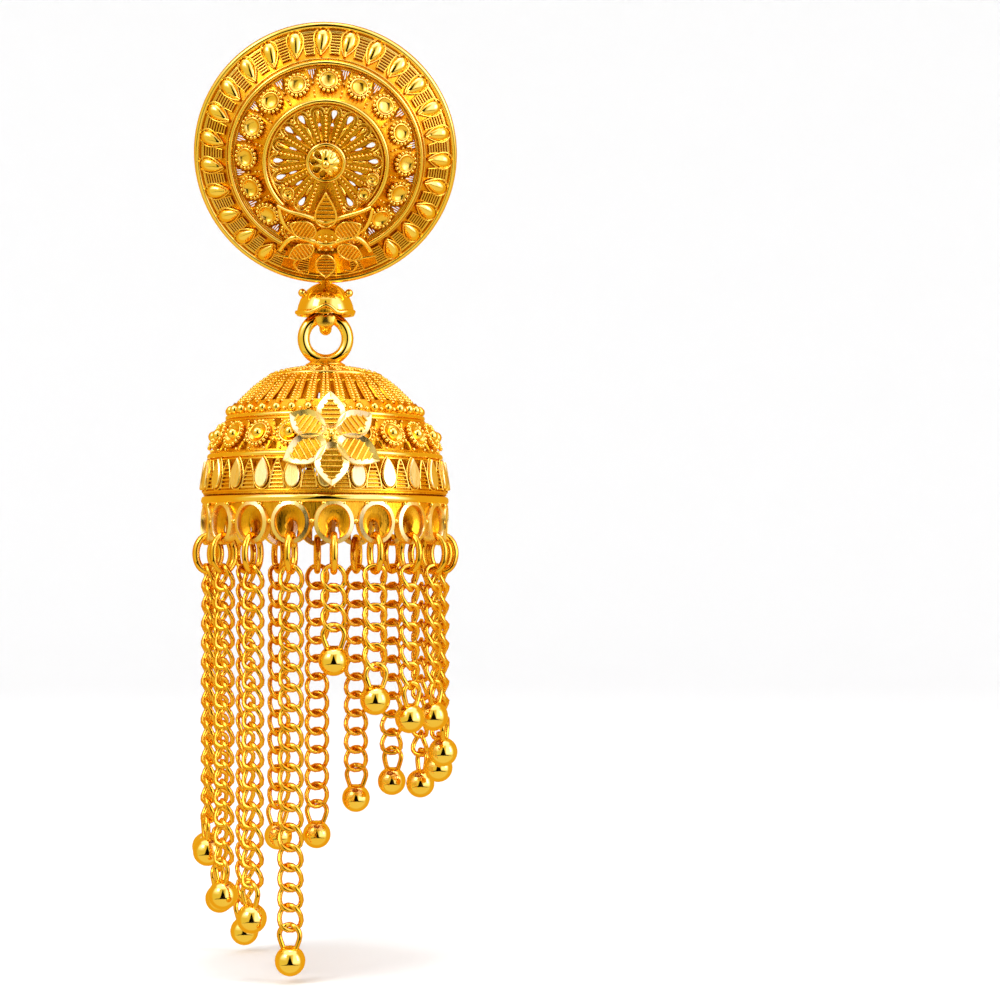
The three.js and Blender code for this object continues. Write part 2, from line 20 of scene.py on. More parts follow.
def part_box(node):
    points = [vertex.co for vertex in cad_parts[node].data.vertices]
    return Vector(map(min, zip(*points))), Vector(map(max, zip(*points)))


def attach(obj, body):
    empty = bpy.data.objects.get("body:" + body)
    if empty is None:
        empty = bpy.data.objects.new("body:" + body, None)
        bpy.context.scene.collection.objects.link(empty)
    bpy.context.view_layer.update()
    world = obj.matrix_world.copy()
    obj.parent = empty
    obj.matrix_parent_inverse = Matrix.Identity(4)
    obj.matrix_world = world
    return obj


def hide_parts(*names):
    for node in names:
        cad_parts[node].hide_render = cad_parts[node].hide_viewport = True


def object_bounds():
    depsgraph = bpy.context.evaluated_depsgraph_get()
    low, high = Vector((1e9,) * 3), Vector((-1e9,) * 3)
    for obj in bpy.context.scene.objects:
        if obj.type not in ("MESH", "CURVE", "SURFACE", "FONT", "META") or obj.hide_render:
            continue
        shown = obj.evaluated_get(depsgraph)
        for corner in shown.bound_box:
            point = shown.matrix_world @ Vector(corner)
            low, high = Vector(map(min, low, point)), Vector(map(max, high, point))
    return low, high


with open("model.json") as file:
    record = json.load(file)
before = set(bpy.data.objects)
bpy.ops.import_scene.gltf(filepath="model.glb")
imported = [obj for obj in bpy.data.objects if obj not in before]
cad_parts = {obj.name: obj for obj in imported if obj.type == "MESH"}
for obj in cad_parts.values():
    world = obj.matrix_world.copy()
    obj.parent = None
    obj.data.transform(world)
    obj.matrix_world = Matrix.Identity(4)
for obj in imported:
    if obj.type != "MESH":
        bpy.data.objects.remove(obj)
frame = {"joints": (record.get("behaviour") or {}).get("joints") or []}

LOG = logging.getLogger("jhumka")
MM = 0.001
WELD = 1e-4
CAD_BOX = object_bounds()

Row = tuple[float, float]


class Gold(Enum):
    """The gold finishes, in the order of the material slots of an unfinished mesh, two with painted
    light.
    """

    PLATE = 0
    BRIGHT = 1
    WIRE = 2
    # Darker gold: painted shade on sunk floors, backing walls, hollows and gaps.
    RECESS_SHADE = 3
    # Paler gold: painted highlight on flat polished faces, with a satin roughness of its own.
    PALE_HIGHLIGHT = 4


def box_mm(node: str) -> tuple[Vector, Vector]:
    """Corners of a CAD node at rest.

    Args:
        node: the node's name.

    Returns:
        Its lowest and highest corner in millimetres.
    """
    low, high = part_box(node)
    return low / MM, high / MM


def lerp(a: float, b: float, share: float) -> float:
    """The value a share of the way from a to b.

    Args:
        a: the value at share 0.
        b: the value at share 1.
        share: how far along.

    Returns:
        The value between them.
    """
    return a + (b - a) * share


def circle_angles(count: int, first: float = 0.0) -> list[float]:
    """Evenly spaced angles.

    Args:
        count: how many places there are round the circle.
        first: the first angle in degrees.

    Returns:
        The angles in degrees.
    """
    return [first + 360.0 * i / count for i in range(count)]


class Pattern:
    """One small shape in the making, which is stamped many times into a piece."""

    def __init__(self) -> None:
        """Starts an empty bmesh."""
        self.bm = bmesh.new()
        self.floor: bmesh.types.BMFace | None = None

    def newest(self, first: int) -> list[bmesh.types.BMVert]:
        """The vertices made since the mesh had that many.

        Args:
            first: how many vertices there were before.

        Returns:
            The vertices that were added since.
        """
        self.bm.verts.ensure_lookup_table()
        return self.bm.verts[first:]

    def move(self, first: int, place: Matrix) -> "Pattern":
        """Moves the vertices made since the mesh had that many.

        Args:
            first: the count of vertices before the new ones.
            place: where they go.

        Returns:
            The pattern itself.
        """
        bmesh.ops.transform(self.bm, matrix=place, verts=self.newest(first))
        return self

    def turned(self, rows: Iterable[Row], steps: int, closed: bool = False,
               place: Matrix | None = None) -> "Pattern":
        """Turns an outline about the Z axis.

        Args:
            rows: radius and height of each corner of the outline.
            steps: how many steps the full turn has.
            closed: whether the outline's last corner joins its first.
            place: where the turned shape goes.

        Returns:
            The pattern itself.
        """
        first = len(self.bm.verts)
        verts = [self.bm.verts.new((radius, 0.0, height)) for radius, height in rows]
        ends = verts[1:] + verts[:1] if closed else verts[1:]
        edges = [self.bm.edges.new(pair) for pair in zip(verts, ends)]
        bmesh.ops.spin(self.bm, geom=verts + edges, cent=(0, 0, 0), axis=(0, 0, 1),
                       angle=2 * math.pi, steps=steps, use_merge=True)
        bmesh.ops.remove_doubles(self.bm, verts=self.newest(first), dist=WELD)
        if place is not None:
            self.move(first, place)
        return self

    def hoop(self, radius: float, wire: float, steps: int, sides: int = 8, tall: float = 1.0,
             place: Matrix | None = None) -> "Pattern":
        """A wire hoop in the XY plane.

        Args:
            radius: from the middle of the hoop to the middle of its wire.
            wire: the wire's radius.
            steps: how many steps the hoop has.
            sides: how many sides the wire has.
            tall: how much taller than wide the wire is.
            place: where the hoop goes.

        Returns:
            The pattern itself.
        """
        rows = [(radius + wire * math.cos(t), wire * tall * math.sin(t))
                for t in (2 * math.pi * i / sides for i in range(sides))]
        return self.turned(rows, steps, closed=True, place=place)

    def ball(self, radius: float, sides: int = 8, rings: int = 5,
             place: Matrix | None = None) -> "Pattern":
        """A round bead.

        Args:
            radius: the bead's radius.
            sides: how many sides it has round its axis.
            rings: how many rows of faces it has.
            place: where the bead goes.

        Returns:
            The pattern itself.
        """
        bmesh.ops.create_uvsphere(self.bm, u_segments=sides, v_segments=rings, radius=radius,
                                  matrix=place or Matrix.Identity(4))
        return self

    def rod(self, length: float, wire: float, sides: int = 6, flat: float = 1.0,
            place: Matrix | None = None) -> "Pattern":
        """A short straight wire along the X axis.

        Args:
            length: how long the wire is.
            wire: the wire's radius.
            sides: how many sides it has.
            flat: how much its height along Z is flattened.
            place: where the rod goes.

        Returns:
            The pattern itself.
        """
        lay = Matrix.Diagonal((1, 1, flat, 1)) @ Matrix.Rotation(math.pi / 2, 4, "Y")
        first = len(self.bm.verts)
        bmesh.ops.create_cone(self.bm, cap_ends=True, segments=sides, radius1=wire, radius2=wire,
                              depth=length, matrix=lay)
        return self.move(first, place) if place is not None else self

    def wire(self, path: list[Vector], radius: float | list[float], sides: int = 6,
             closed: bool = False) -> "Pattern":
        """A round wire that follows a path.

        Args:
            path: the points at the middle of the wire.
            radius: the wire's radius, or one radius for each point.
            sides: how many sides the wire has.
            closed: whether the path's end joins its start.

        Returns:
            The pattern itself.
        """
        radii = radius if isinstance(radius, list) else [radius] * len(path)
        made = bmesh.ops.create_circle(self.bm, cap_ends=False, segments=sides, radius=1.0)
        verts = made["verts"]
        edges = list(dict.fromkeys(edge for vert in verts for edge in vert.link_edges))
        start = edges
        last = Matrix.Identity(4)
        side = None
        for i, point in enumerate(path):
            ahead = path[(i + 1) % len(path)] if closed or i + 1 < len(path) else point
            behind = path[i - 1] if closed or i else point
            along = (ahead - behind).normalized()
            if side is None:
                side = along.orthogonal()
            side = (side - along * side.dot(along)).normalized()
            across = along.cross(side)
            spot = Matrix.Identity(4)
            for column, axis in enumerate((side * radii[i], across * radii[i], along, point)):
                for row in range(3):
                    spot[row][column] = axis[row]
            if i:
                out = bmesh.ops.extrude_edge_only(self.bm, edges=edges)["geom"]
                verts = [g for g in out if isinstance(g, bmesh.types.BMVert)]
                edges = [g for g in out if isinstance(g, bmesh.types.BMEdge)]
            bmesh.ops.transform(self.bm, matrix=spot @ last.inverted(), verts=verts)
            last = spot
        if closed:
            bmesh.ops.bridge_loops(self.bm, edges=start + edges)
        else:
            for loop in (start, edges):
                bmesh.ops.edgeloop_fill(self.bm, edges=loop)
        return self

    def shaped(self, first: int, move: Callable[[Vector], Vector]) -> "Pattern":
        """Moves each vertex made since the mesh had that many to a place of its own.

        Args:
            first: the count of vertices before the new ones.
            move: gives a vertex's new place from its old one.

        Returns:
            The pattern itself.
        """
        for vert in self.newest(first):
            vert.co = move(vert.co.copy())
        return self

    def done(self, gold: Gold, crease: float = 38.0) -> bpy.types.Mesh:
        """Closes the pattern.

        Args:
            gold: the finish of its faces, but for a sunk floor, which always gets RECESS_SHADE, the
                darker gold of painted shade.
            crease: edges that turn more than this many degrees stay sharp.

        Returns:
            The pattern's mesh, in millimetres.
        """
        bmesh.ops.recalc_face_normals(self.bm, faces=self.bm.faces)
        for face in self.bm.faces:
            face.smooth = True
            face.material_index = gold.value
        # A sunk floor is painted darker: painted shade.
        if self.floor is not None:
            self.floor.material_index = Gold.RECESS_SHADE.value
        for edge in self.bm.edges:
            edge.smooth = edge.calc_face_angle(0.0) < math.radians(crease)
        mesh = bpy.data.meshes.new("pattern")
        self.bm.to_mesh(mesh)
        self.bm.free()
        return mesh


def pattern_wire(path: list[Vector], radius: float | list[float], sides: int = 6,
                 closed: bool = False, gold: Gold = Gold.WIRE) -> bpy.types.Mesh:
    """A wire along a path as a finished pattern.

    Args:
        path: the points at the middle of the wire.
        radius: the wire's radius, or one radius for each point.
        sides: how many sides the wire has.
        closed: whether the path's end joins its start.
        gold: the wire's finish.

    Returns:
        The pattern's mesh.
    """
    return Pattern().wire(path, radius, sides, closed).done(gold, 75)


@dataclass
class Piece:
    """A piece of the visual model, stamped together from patterns."""

    name: str
    body: str
    slot: str
    stands_for: tuple[str, ...]
    bm: bmesh.types.BMesh = field(default_factory=bmesh.new)

    def stamp(self, pattern: bpy.types.Mesh, *places: Matrix) -> "Piece":
        """Adds a pattern.

        Args:
            pattern: the pattern's mesh.
            places: where its copies go; where it was made if there are none.

        Returns:
            The piece itself.
        """
        for place in places or (Matrix.Identity(4),):
            first = len(self.bm.verts)
            self.bm.from_mesh(pattern)
            self.bm.verts.ensure_lookup_table()
            bmesh.ops.transform(self.bm, matrix=place, verts=self.bm.verts[first:])
        return self

    def as_pattern(self) -> bpy.types.Mesh:
        """Turns what was stamped into one pattern, with no object of its own.

        Returns:
            The pattern's mesh.
        """
        mesh = bpy.data.meshes.new(self.name)
        self.bm.to_mesh(mesh)
        self.bm.free()
        return mesh

    def finish(self, metals: "Metals") -> bpy.types.Object:
        """Makes the piece an object in metres, on its body, with its gold.

        Args:
            metals: the gold finishes.

        Returns:
            The finished object.
        """
        bmesh.ops.scale(self.bm, vec=(MM, MM, MM), verts=self.bm.verts)
        used = sorted({face.material_index for face in self.bm.faces})
        for face in self.bm.faces:
            face.material_index = used.index(face.material_index)
        mesh = self.as_pattern()
        for index in used:
            mesh.materials.append(metals.of(Gold(index)))
        made = bpy.data.objects.new(self.name, mesh)
        bpy.context.scene.collection.objects.link(made)
        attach(made, self.body)
        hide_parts(*self.stands_for)
        mesh.calc_loop_triangles()
        LOG.info("%s: %d triangles on %s", self.name, len(mesh.loop_triangles), self.body)
        return made


def cut(solid: bpy.types.Mesh, tool: bpy.types.Mesh) -> bpy.types.Mesh:
    """Cuts one closed mesh out of another.

    Args:
        solid: the mesh that is cut.
        tool: what is taken away, with no two of its bodies touching.

    Returns:
        The mesh that is left.
    """
    held = [bpy.data.objects.new(name, mesh) for name, mesh in (("solid", solid), ("tool", tool))]
    for thing in held:
        bpy.context.scene.collection.objects.link(thing)
    saw = held[0].modifiers.new("saw", "BOOLEAN")
    saw.object = held[1]
    saw.operation = "DIFFERENCE"
    saw.solver = "EXACT"
    shown = held[0].evaluated_get(bpy.context.evaluated_depsgraph_get())
    left = bpy.data.meshes.new_from_object(shown)
    for thing in held:
        bpy.data.objects.remove(thing)
    return left


# Outlines and small patterns


def tear_points(length: float, width: float, count: int = 20, dip: float = 0.9) -> list[Vector]:
    """A teardrop outline, round at +Y and pointed at -Y.

    Args:
        length: from tip to round end.
        width: across its widest place.
        count: how many points it has.
        dip: how slender its tip is.

    Returns:
        The outline's points in the XY plane.
    """
    points = []
    for i in range(count):
        t = 2 * math.pi * i / count
        slim = ((1 + math.cos(t)) / 2) ** (dip / 2)
        points.append(Vector((width * 0.66 * math.sin(t) * slim, length / 2 * math.cos(t), 0)))
    return points


def leaf_points(length: float, width: float, count: int = 28) -> list[Vector]:
    """A leaf outline from the origin along +Y, pointed at its tip and blunt at its foot.

    Args:
        length: from foot to tip.
        width: across its widest place.
        count: how many points it has, an even number.

    Returns:
        The outline's points in the XY plane.
    """
    half = count // 2
    right = [Vector((width * 0.12, 0, 0))]
    for i in range(1, half):
        share = i / half
        swell = math.sin(math.pi * share ** 0.9)
        wide = width / 2 * swell ** (0.55 if share < 0.46 else 0.9)
        right.append(Vector((max(wide, width * 0.04), length * share, 0)))
    left = [Vector((-p.x, p.y, 0)) for p in reversed(right)]
    return right + [Vector((0, length, 0))] + left


def plate(points: list[Vector], low: float, high: float, rim: float = 0.0, sunk: float = 0.0,
          edge: float = 0.0) -> Pattern:
    """A flat plate with an optional raised rim.

    Args:
        points: its outline in the XY plane.
        low: depth of its back.
        high: depth of its front.
        rim: width of the rim left standing; no rim at 0.
        sunk: how deep the floor lies below the rim.
        edge: width of the bevel on the outer front edge.

    Returns:
        The open pattern.
    """
    made = Pattern()
    base = made.bm.faces.new([made.bm.verts.new(p + Vector((0, 0, low))) for p in points])
    out = bmesh.ops.extrude_face_region(made.bm, geom=[base])["geom"]
    top = next(g for g in out if isinstance(g, bmesh.types.BMFace))
    bmesh.ops.translate(made.bm, vec=(0, 0, high - low), verts=top.verts[:])
    bmesh.ops.recalc_face_normals(made.bm, faces=made.bm.faces)
    if edge:
        bmesh.ops.inset_region(made.bm, faces=[top], thickness=edge, depth=edge * 0.8,
                               use_even_offset=False)
    if rim:
        bmesh.ops.inset_region(made.bm, faces=[top], thickness=rim, use_even_offset=False)
        bmesh.ops.translate(made.bm, vec=(0, 0, -sunk), verts=top.verts[:])
        # The sunk floor gets the darker gold of painted shade when the pattern is done.
        made.floor = top
    return made


def drop_shape(length: float, width: float, height: float, sides: int = 14, rings: int = 8,
               gold: Gold = Gold.BRIGHT) -> bpy.types.Mesh:
    """A polished teardrop, domed on its face, round at +Y.

    Args:
        length: from tip to round end.
        width: across its widest place.
        height: how proud its face stands.
        sides: how many sides it has round its length.
        rings: how many rows of faces it has.
        gold: its finish.

    Returns:
        The pattern's mesh.
    """
    made = Pattern().ball(1.0, sides, rings, Matrix.Rotation(-math.pi / 2, 4, "X"))

    def taper(p: Vector) -> Vector:
        """Draws the round ball out to a teardrop.

        Args:
            p: a point of the round ball.

        Returns:
            Where it goes on the teardrop.
        """
        slim = max(0.0, (1 + p.y) / 2) ** 0.42 * 1.258
        return Vector((p.x * width / 2 * slim, p.y * length / 2, p.z * height * slim))

    return made.shaped(0, taper).done(gold, 80)


def merged(*meshes: bpy.types.Mesh) -> bpy.types.Mesh:
    """Puts finished patterns together as one pattern.

    Args:
        meshes: the patterns.

    Returns:
        The pattern that holds them all.
    """
    bm = bmesh.new()
    for mesh in meshes:
        bm.from_mesh(mesh)
    out = bpy.data.meshes.new("pattern")
    bm.to_mesh(out)
    bm.free()
    return out


# Finishes, two of them with painted light in their colour


def plating_group() -> bpy.types.NodeTree:
    """The shared group for worn gold plating: how its tone, gloss and surface wander.

    Returns:
        The node group.
    """
    tree = bpy.data.node_groups.new("gold_plating", "ShaderNodeTree")
    face = tree.interface
    for name, kind, value in (
        ("Place", "NodeSocketVector", None),
        ("Pale", "NodeSocketColor", (1, 0.7, 0.2, 1)),
        ("Deep", "NodeSocketColor", (0.8, 0.4, 0.05, 1)),
        ("Patch Scale", "NodeSocketFloat", 500.0),
        ("Grain Scale", "NodeSocketFloat", 6000.0),
        ("Smooth", "NodeSocketFloat", 0.08),
        ("Rough", "NodeSocketFloat", 0.22),
    ):
        made = face.new_socket(name, in_out="INPUT", socket_type=kind)
        if value is not None:
            made.default_value = value
    for name, kind in (("Color", "NodeSocketColor"), ("Roughness", "NodeSocketFloat"),
                       ("Height", "NodeSocketFloat")):
        face.new_socket(name, in_out="OUTPUT", socket_type=kind)
    node, link = tree.nodes.new, tree.links.new
    given, out = node("NodeGroupInput"), node("NodeGroupOutput")
    patch, grain, scratch = (node("ShaderNodeTexNoise") for _ in range(3))
    patch.inputs["Detail"].default_value = 3.0
    grain.inputs["Detail"].default_value = 2.0
    scratch.inputs["Detail"].default_value = 1.0
    stretch = node("ShaderNodeMapping")
    stretch.inputs["Scale"].default_value = (1.0, 1.0, 0.08)
    stretch.inputs["Rotation"].default_value = (0.5, 0.35, 0.0)
    link(given.outputs["Place"], patch.inputs["Vector"])
    link(given.outputs["Place"], grain.inputs["Vector"])
    link(given.outputs["Place"], stretch.inputs["Vector"])
    link(stretch.outputs["Vector"], scratch.inputs["Vector"])
    link(given.outputs["Patch Scale"], patch.inputs["Scale"])
    link(given.outputs["Grain Scale"], grain.inputs["Scale"])
    link(given.outputs["Grain Scale"], scratch.inputs["Scale"])
    tone = node("ShaderNodeMapRange")
    tone.inputs["From Min"].default_value = 0.35
    tone.inputs["From Max"].default_value = 0.68
    link(patch.outputs["Fac"], tone.inputs["Value"])
    mix = node("ShaderNodeMix")
    mix.data_type = "RGBA"
    link(tone.outputs["Result"], mix.inputs["Factor"])
    link(given.outputs["Pale"], mix.inputs["A"])
    link(given.outputs["Deep"], mix.inputs["B"])
    link(mix.outputs["Result"], out.inputs["Color"])
    gloss = node("ShaderNodeMapRange")
    gloss.inputs["From Min"].default_value = 0.38
    gloss.inputs["From Max"].default_value = 0.7
    link(scratch.outputs["Fac"], gloss.inputs["Value"])
    link(given.outputs["Smooth"], gloss.inputs["To Min"])
    link(given.outputs["Rough"], gloss.inputs["To Max"])
    link(gloss.outputs["Result"], out.inputs["Roughness"])
    relief = node("ShaderNodeMath")
    relief.operation = "MULTIPLY_ADD"
    relief.inputs[1].default_value = 0.5
    link(scratch.outputs["Fac"], relief.inputs[0])
    link(grain.outputs["Fac"], relief.inputs[2])
    link(relief.outputs["Value"], out.inputs["Height"])
    return tree


@dataclass(frozen=True)
class GoldFinish:
    """One gold finish."""

    name: str
    pale: tuple[float, float, float]
    deep: tuple[float, float, float]
    patch: float
    grain: float
    smooth: float
    rough: float
    bump: float

    def material(self, group: bpy.types.NodeTree) -> bpy.types.Material:
        """Builds the finish as a material.

        Args:
            group: the shared plating group.

        Returns:
            The material.
        """
        made = bpy.data.materials.new(self.name)
        made.use_nodes = True
        tree = made.node_tree
        shader = tree.nodes["Principled BSDF"]
        shader.inputs["Metallic"].default_value = 1.0
        shader.inputs["Specular Tint"].default_value = (1.0, 0.86, 0.55, 1.0)
        plating = tree.nodes.new("ShaderNodeGroup")
        plating.node_tree = group
        place = tree.nodes.new("ShaderNodeTexCoord")
        bump = tree.nodes.new("ShaderNodeBump")
        bump.inputs["Strength"].default_value = self.bump
        bump.inputs["Distance"].default_value = 0.00002
        link = tree.links.new
        link(place.outputs["Object"], plating.inputs["Place"])
        plating.inputs["Pale"].default_value = (*self.pale, 1.0)
        plating.inputs["Deep"].default_value = (*self.deep, 1.0)
        plating.inputs["Patch Scale"].default_value = self.patch
        plating.inputs["Grain Scale"].default_value = self.grain
        plating.inputs["Smooth"].default_value = self.smooth
        plating.inputs["Rough"].default_value = self.rough
        link(plating.outputs["Color"], shader.inputs["Base Color"])
        link(plating.outputs["Roughness"], shader.inputs["Roughness"])
        link(plating.outputs["Height"], bump.inputs["Height"])
        link(bump.outputs["Normal"], shader.inputs["Normal"])
        return made


FINISHES_AND_PAINTED_LIGHT = {
    Gold.PLATE: GoldFinish("gold_plate", (1.0, 0.64, 0.10), (0.93, 0.53, 0.045), 420.0, 5200.0,
                           0.17, 0.33, 0.3),
    Gold.BRIGHT: GoldFinish("gold_bright", (1.0, 0.69, 0.13), (0.98, 0.61, 0.08), 300.0, 4200.0,
                            0.045, 0.13, 0.12),
    Gold.WIRE: GoldFinish("gold_wire", (0.96, 0.54, 0.05), (0.87, 0.44, 0.025), 380.0, 4800.0,
                          0.08, 0.2, 0.18),
    # Darker, rougher gold; the darker colour is painted shade.
    Gold.RECESS_SHADE: GoldFinish("gold_recess_shade", (0.92, 0.46, 0.02), (0.66, 0.27, 0.006), 650.0, 7000.0,
                            0.24, 0.42, 0.6),
    # Paler, satin gold; the paler colour is painted highlight.
    Gold.PALE_HIGHLIGHT: GoldFinish("gold_pale_highlight", (1.0, 0.77, 0.32), (1.0, 0.70, 0.22), 300.0, 4600.0,
                          0.26, 0.36, 0.3),
}


class Metals:
    """The gold materials, each built once."""

    def __init__(self) -> None:
        """Builds every finish."""
        group = plating_group()
        self.made = {gold: finish.material(group) for gold, finish in FINISHES_AND_PAINTED_LIGHT.items()}

    def of(self, gold: Gold) -> bpy.types.Material:
        """The material of a finish.

        Args:
            gold: the finish.

        Returns:
            Its material.
        """
        return self.made[gold]


# The stud


@dataclass
class Stud:
    """The leaning pierced disc with its boss, flower and post, in millimetres."""

    lean: float = 19.5
    radius: float = 12.0
    wall: float = 0.5
    rim_depth: float = 1.1
    rim_width: float = 0.55
    mid_radius: float = 8.67
    mid_depth: float = 3.05
    inner_radius: float = 5.52
    inner_depth: float = 4.9
    ring_width: float = 0.34
    ring_drop: float = 0.75
    hub_depth: float = 4.2
    tears: int = 27
    tear_length: float = 2.35
    tear_width: float = 1.25
    rosettes: int = 16
    rosette_radius: float = 1.2
    spokes: int = 18
    steps: int = 108
    hidden: float = 26.0
    boss_radius: float = 1.84
    boss_height: float = 1.3
    flower_low: float = 7.1
    flower_depth: float = 4.0
    flower_pitch: float = 23.0
    tear_turn: float = -2.0
    tear_swing: float = -9.0
    rosette_turn: float = 1.7
    gap_reach: float = 12.0
    petals: tuple[tuple[float, float, float, float], ...] = (
        (0, 1.5, 3.7, 2.0), (60, 1.15, 2.5, 1.9), (-60, 1.15, 2.5, 1.9), (120, 1.35, 2.5, 1.6),
        (-120, 1.35, 2.5, 1.6), (180, 1.6, 2.5, 1.8))

    @property
    def upright(self) -> Matrix:
        """The turn that leans the stud's own frame into place.

        Returns:
            The turn.
        """
        return Matrix.Rotation(math.radians(self.lean), 4, "X")

    @property
    def face(self) -> Matrix:
        """Takes a shape turned about +Z, with its depths along +Z, onto the disc.

        Returns:
            The place of the disc's flat frame.
        """
        return self.upright @ Matrix.Rotation(math.radians(90), 4, "X")

    def outer_field(self) -> tuple[float, float, float, float]:
        """Inner and outer radius, and depth at each, of the field of teardrops.

        Returns:
            The two radii, and the depth at each.
        """
        return (self.mid_radius + self.ring_width, self.radius - self.rim_width,
                self.mid_depth - self.ring_drop, self.rim_depth - 0.3)

    def mid_field(self) -> tuple[float, float, float, float]:
        """Inner and outer radius, and depth at each, of the field of rosettes.

        Returns:
            The two radii, and the depth at each.
        """
        return (self.inner_radius + self.ring_width, self.mid_radius - self.ring_width,
                self.inner_depth - self.ring_drop, self.mid_depth - 0.45)

    def spot(self, angle: float, radius: float, depth: float, slope: float = 0.0) -> Matrix:
        """A place on the disc.

        Args:
            angle: degrees clockwise from the top.
            radius: from the disc's middle.
            depth: how far in front of the disc's back.
            slope: how many degrees the place falls towards the rim.

        Returns:
            The place, with X along the circle, Y outwards and Z off the face.
        """
        turn = Matrix.Rotation(math.radians(-angle), 4, "Z")
        tip = Matrix.Rotation(math.radians(-slope), 4, "X")
        return self.face @ turn @ Matrix.Translation((0, radius, depth)) @ tip

    def on_field(self, bounds: tuple[float, float, float, float], angle: float,
                 radius: float) -> Matrix:
        """A place on one of the two sloping fields.

        Args:
            bounds: the field's radii and depths.
            angle: degrees clockwise from the top.
            radius: from the disc's middle.

        Returns:
            The place on the field's surface.
        """
        inner, outer, high, low = bounds
        share = (radius - inner) / (outer - inner)
        slope = math.degrees(math.atan2(high - low, outer - inner))
        return self.spot(angle, radius, lerp(high, low, share), slope)

    def clear(self, angle: float, spare: float = 0.0) -> bool:
        """Whether an angle lies outside what the stud's flower hides.

        Args:
            angle: degrees clockwise from the top.
            spare: how many degrees more have to be free.

        Returns:
            Whether it is free.
        """
        return abs(abs((angle % 360)) - 180) > self.hidden + spare

    def seat(self) -> Matrix:
        """The place of the stud's flower, with Y up the disc.

        Returns:
            The place.
        """
        flat = Matrix.Rotation(math.radians(180), 4, "Z")
        return self.spot(180, self.flower_low, self.flower_depth, self.flower_pitch) @ flat

    def shell(self) -> bpy.types.Mesh:
        """The stepped plate with its gaps cut through.

        Returns:
            The wall's mesh.
        """
        outer, mid = self.outer_field(), self.mid_field()
        front = [
            (0.0, self.hub_depth), (self.inner_radius - self.ring_width, self.hub_depth - 0.15),
            (self.inner_radius - 0.1, self.inner_depth - 0.3),
            (self.inner_radius + 0.1, self.inner_depth - 0.3), (mid[0], mid[2]), (mid[1], mid[3]),
            (self.mid_radius - 0.1, self.mid_depth - 0.3),
            (self.mid_radius + 0.1, self.mid_depth - 0.3), (outer[0], outer[2]),
            (outer[1], outer[3]), (self.radius - 0.3, self.rim_depth - 0.4),
        ]
        back = [
            (self.radius - 0.3, 0.1), (self.radius - self.rim_width - 0.1, 0.1),
            (outer[0], outer[2] - self.wall), (mid[1], mid[3] - self.wall),
            (mid[0], mid[2] - self.wall), (0.0, self.hub_depth - self.wall - 0.1),
        ]
        # The stepped plate behind the wires is in the darker gold: painted shade.
        solid = Pattern().turned(front + back, self.steps).done(Gold.RECESS_SHADE)
        tools = Piece("gaps", "stud", "gold_plate", ())
        deep = self.gap_reach
        corner = plate([Vector(p) for p in ((-0.44, 0.3, 0), (0, -0.5, 0), (0.44, 0.3, 0))],
                       -deep, deep).done(Gold.RECESS_SHADE)
        eyelet = plate(tear_points(0.95, 0.46, 12), -deep, deep).done(Gold.RECESS_SHADE)
        slit = plate(tear_points(0.85, 0.26, 10), -deep, deep).done(Gold.RECESS_SHADE)
        flat = self.face.inverted()
        for angle in circle_angles(self.rosettes, 180.0 / self.rosettes + self.rosette_turn):
            if self.clear(angle):
                tools.stamp(corner, flat @ self.spot(angle, self.mid_radius - 0.82, 0))
        for i, angle in enumerate(circle_angles(self.spokes, 180.0 / self.spokes)):
            if not self.clear(angle):
                continue
            if i % 3 != 1:
                tools.stamp(slit, flat @ self.spot(angle, self.boss_radius + 1.25, 0))
            if i % 3 != 2:
                tools.stamp(eyelet, flat @ self.spot(angle, self.inner_radius - 1.25, 0))
        return cut(solid, tools.as_pattern())

    def arc(self, radius: float, depth: float, gap: float, steps: int = 120) -> list[Vector]:
        """A path round the disc that is open at the bottom.

        Args:
            radius: from the disc's middle.
            depth: how far in front of the disc's back.
            gap: degrees left out each side of straight down.
            steps: how many points the path has.

        Returns:
            The path in the disc's flat frame.
        """
        turns = [math.radians(lerp(gap - 180, 180 - gap, i / (steps - 1))) for i in range(steps)]
        return [Vector((radius * math.sin(t), radius * math.cos(t), depth)) for t in turns]

    def rings(self, piece: Piece) -> None:
        """Adds the doubled rim wire and the two polished rings.

        Args:
            piece: what they are added to.
        """
        rim = self.radius - 0.3
        for radius, wire, depth, gold in (
            (rim, 0.3, self.rim_depth - 0.3, Gold.BRIGHT), (rim, 0.28, 0.3, Gold.PLATE),
            (self.radius - 0.8, 0.12, self.rim_depth - 0.1, Gold.BRIGHT),
        ):
            lift = Matrix.Translation((0, 0, depth))
            piece.stamp(Pattern().hoop(radius, wire, 144, 10, place=lift).done(gold, 80), self.face)
        mid, inner = self.mid_radius, self.inner_radius
        for radius, wire, depth, gap, gold in (
            (mid, 0.2, self.mid_depth - 0.15, 26.0, Gold.BRIGHT),
            (mid - 0.34, 0.09, self.mid_depth - 0.42, 27.0, Gold.PLATE),
            (mid + 0.32, 0.08, self.mid_depth - 0.6, 26.0, Gold.PLATE),
            (inner, 0.21, self.inner_depth - 0.15, 45.0, Gold.BRIGHT),
            (inner - 0.36, 0.1, self.inner_depth - 0.45, 45.0, Gold.PLATE),
        ):
            piece.stamp(pattern_wire(self.arc(radius, depth, gap), wire, 8, gold=gold), self.face)

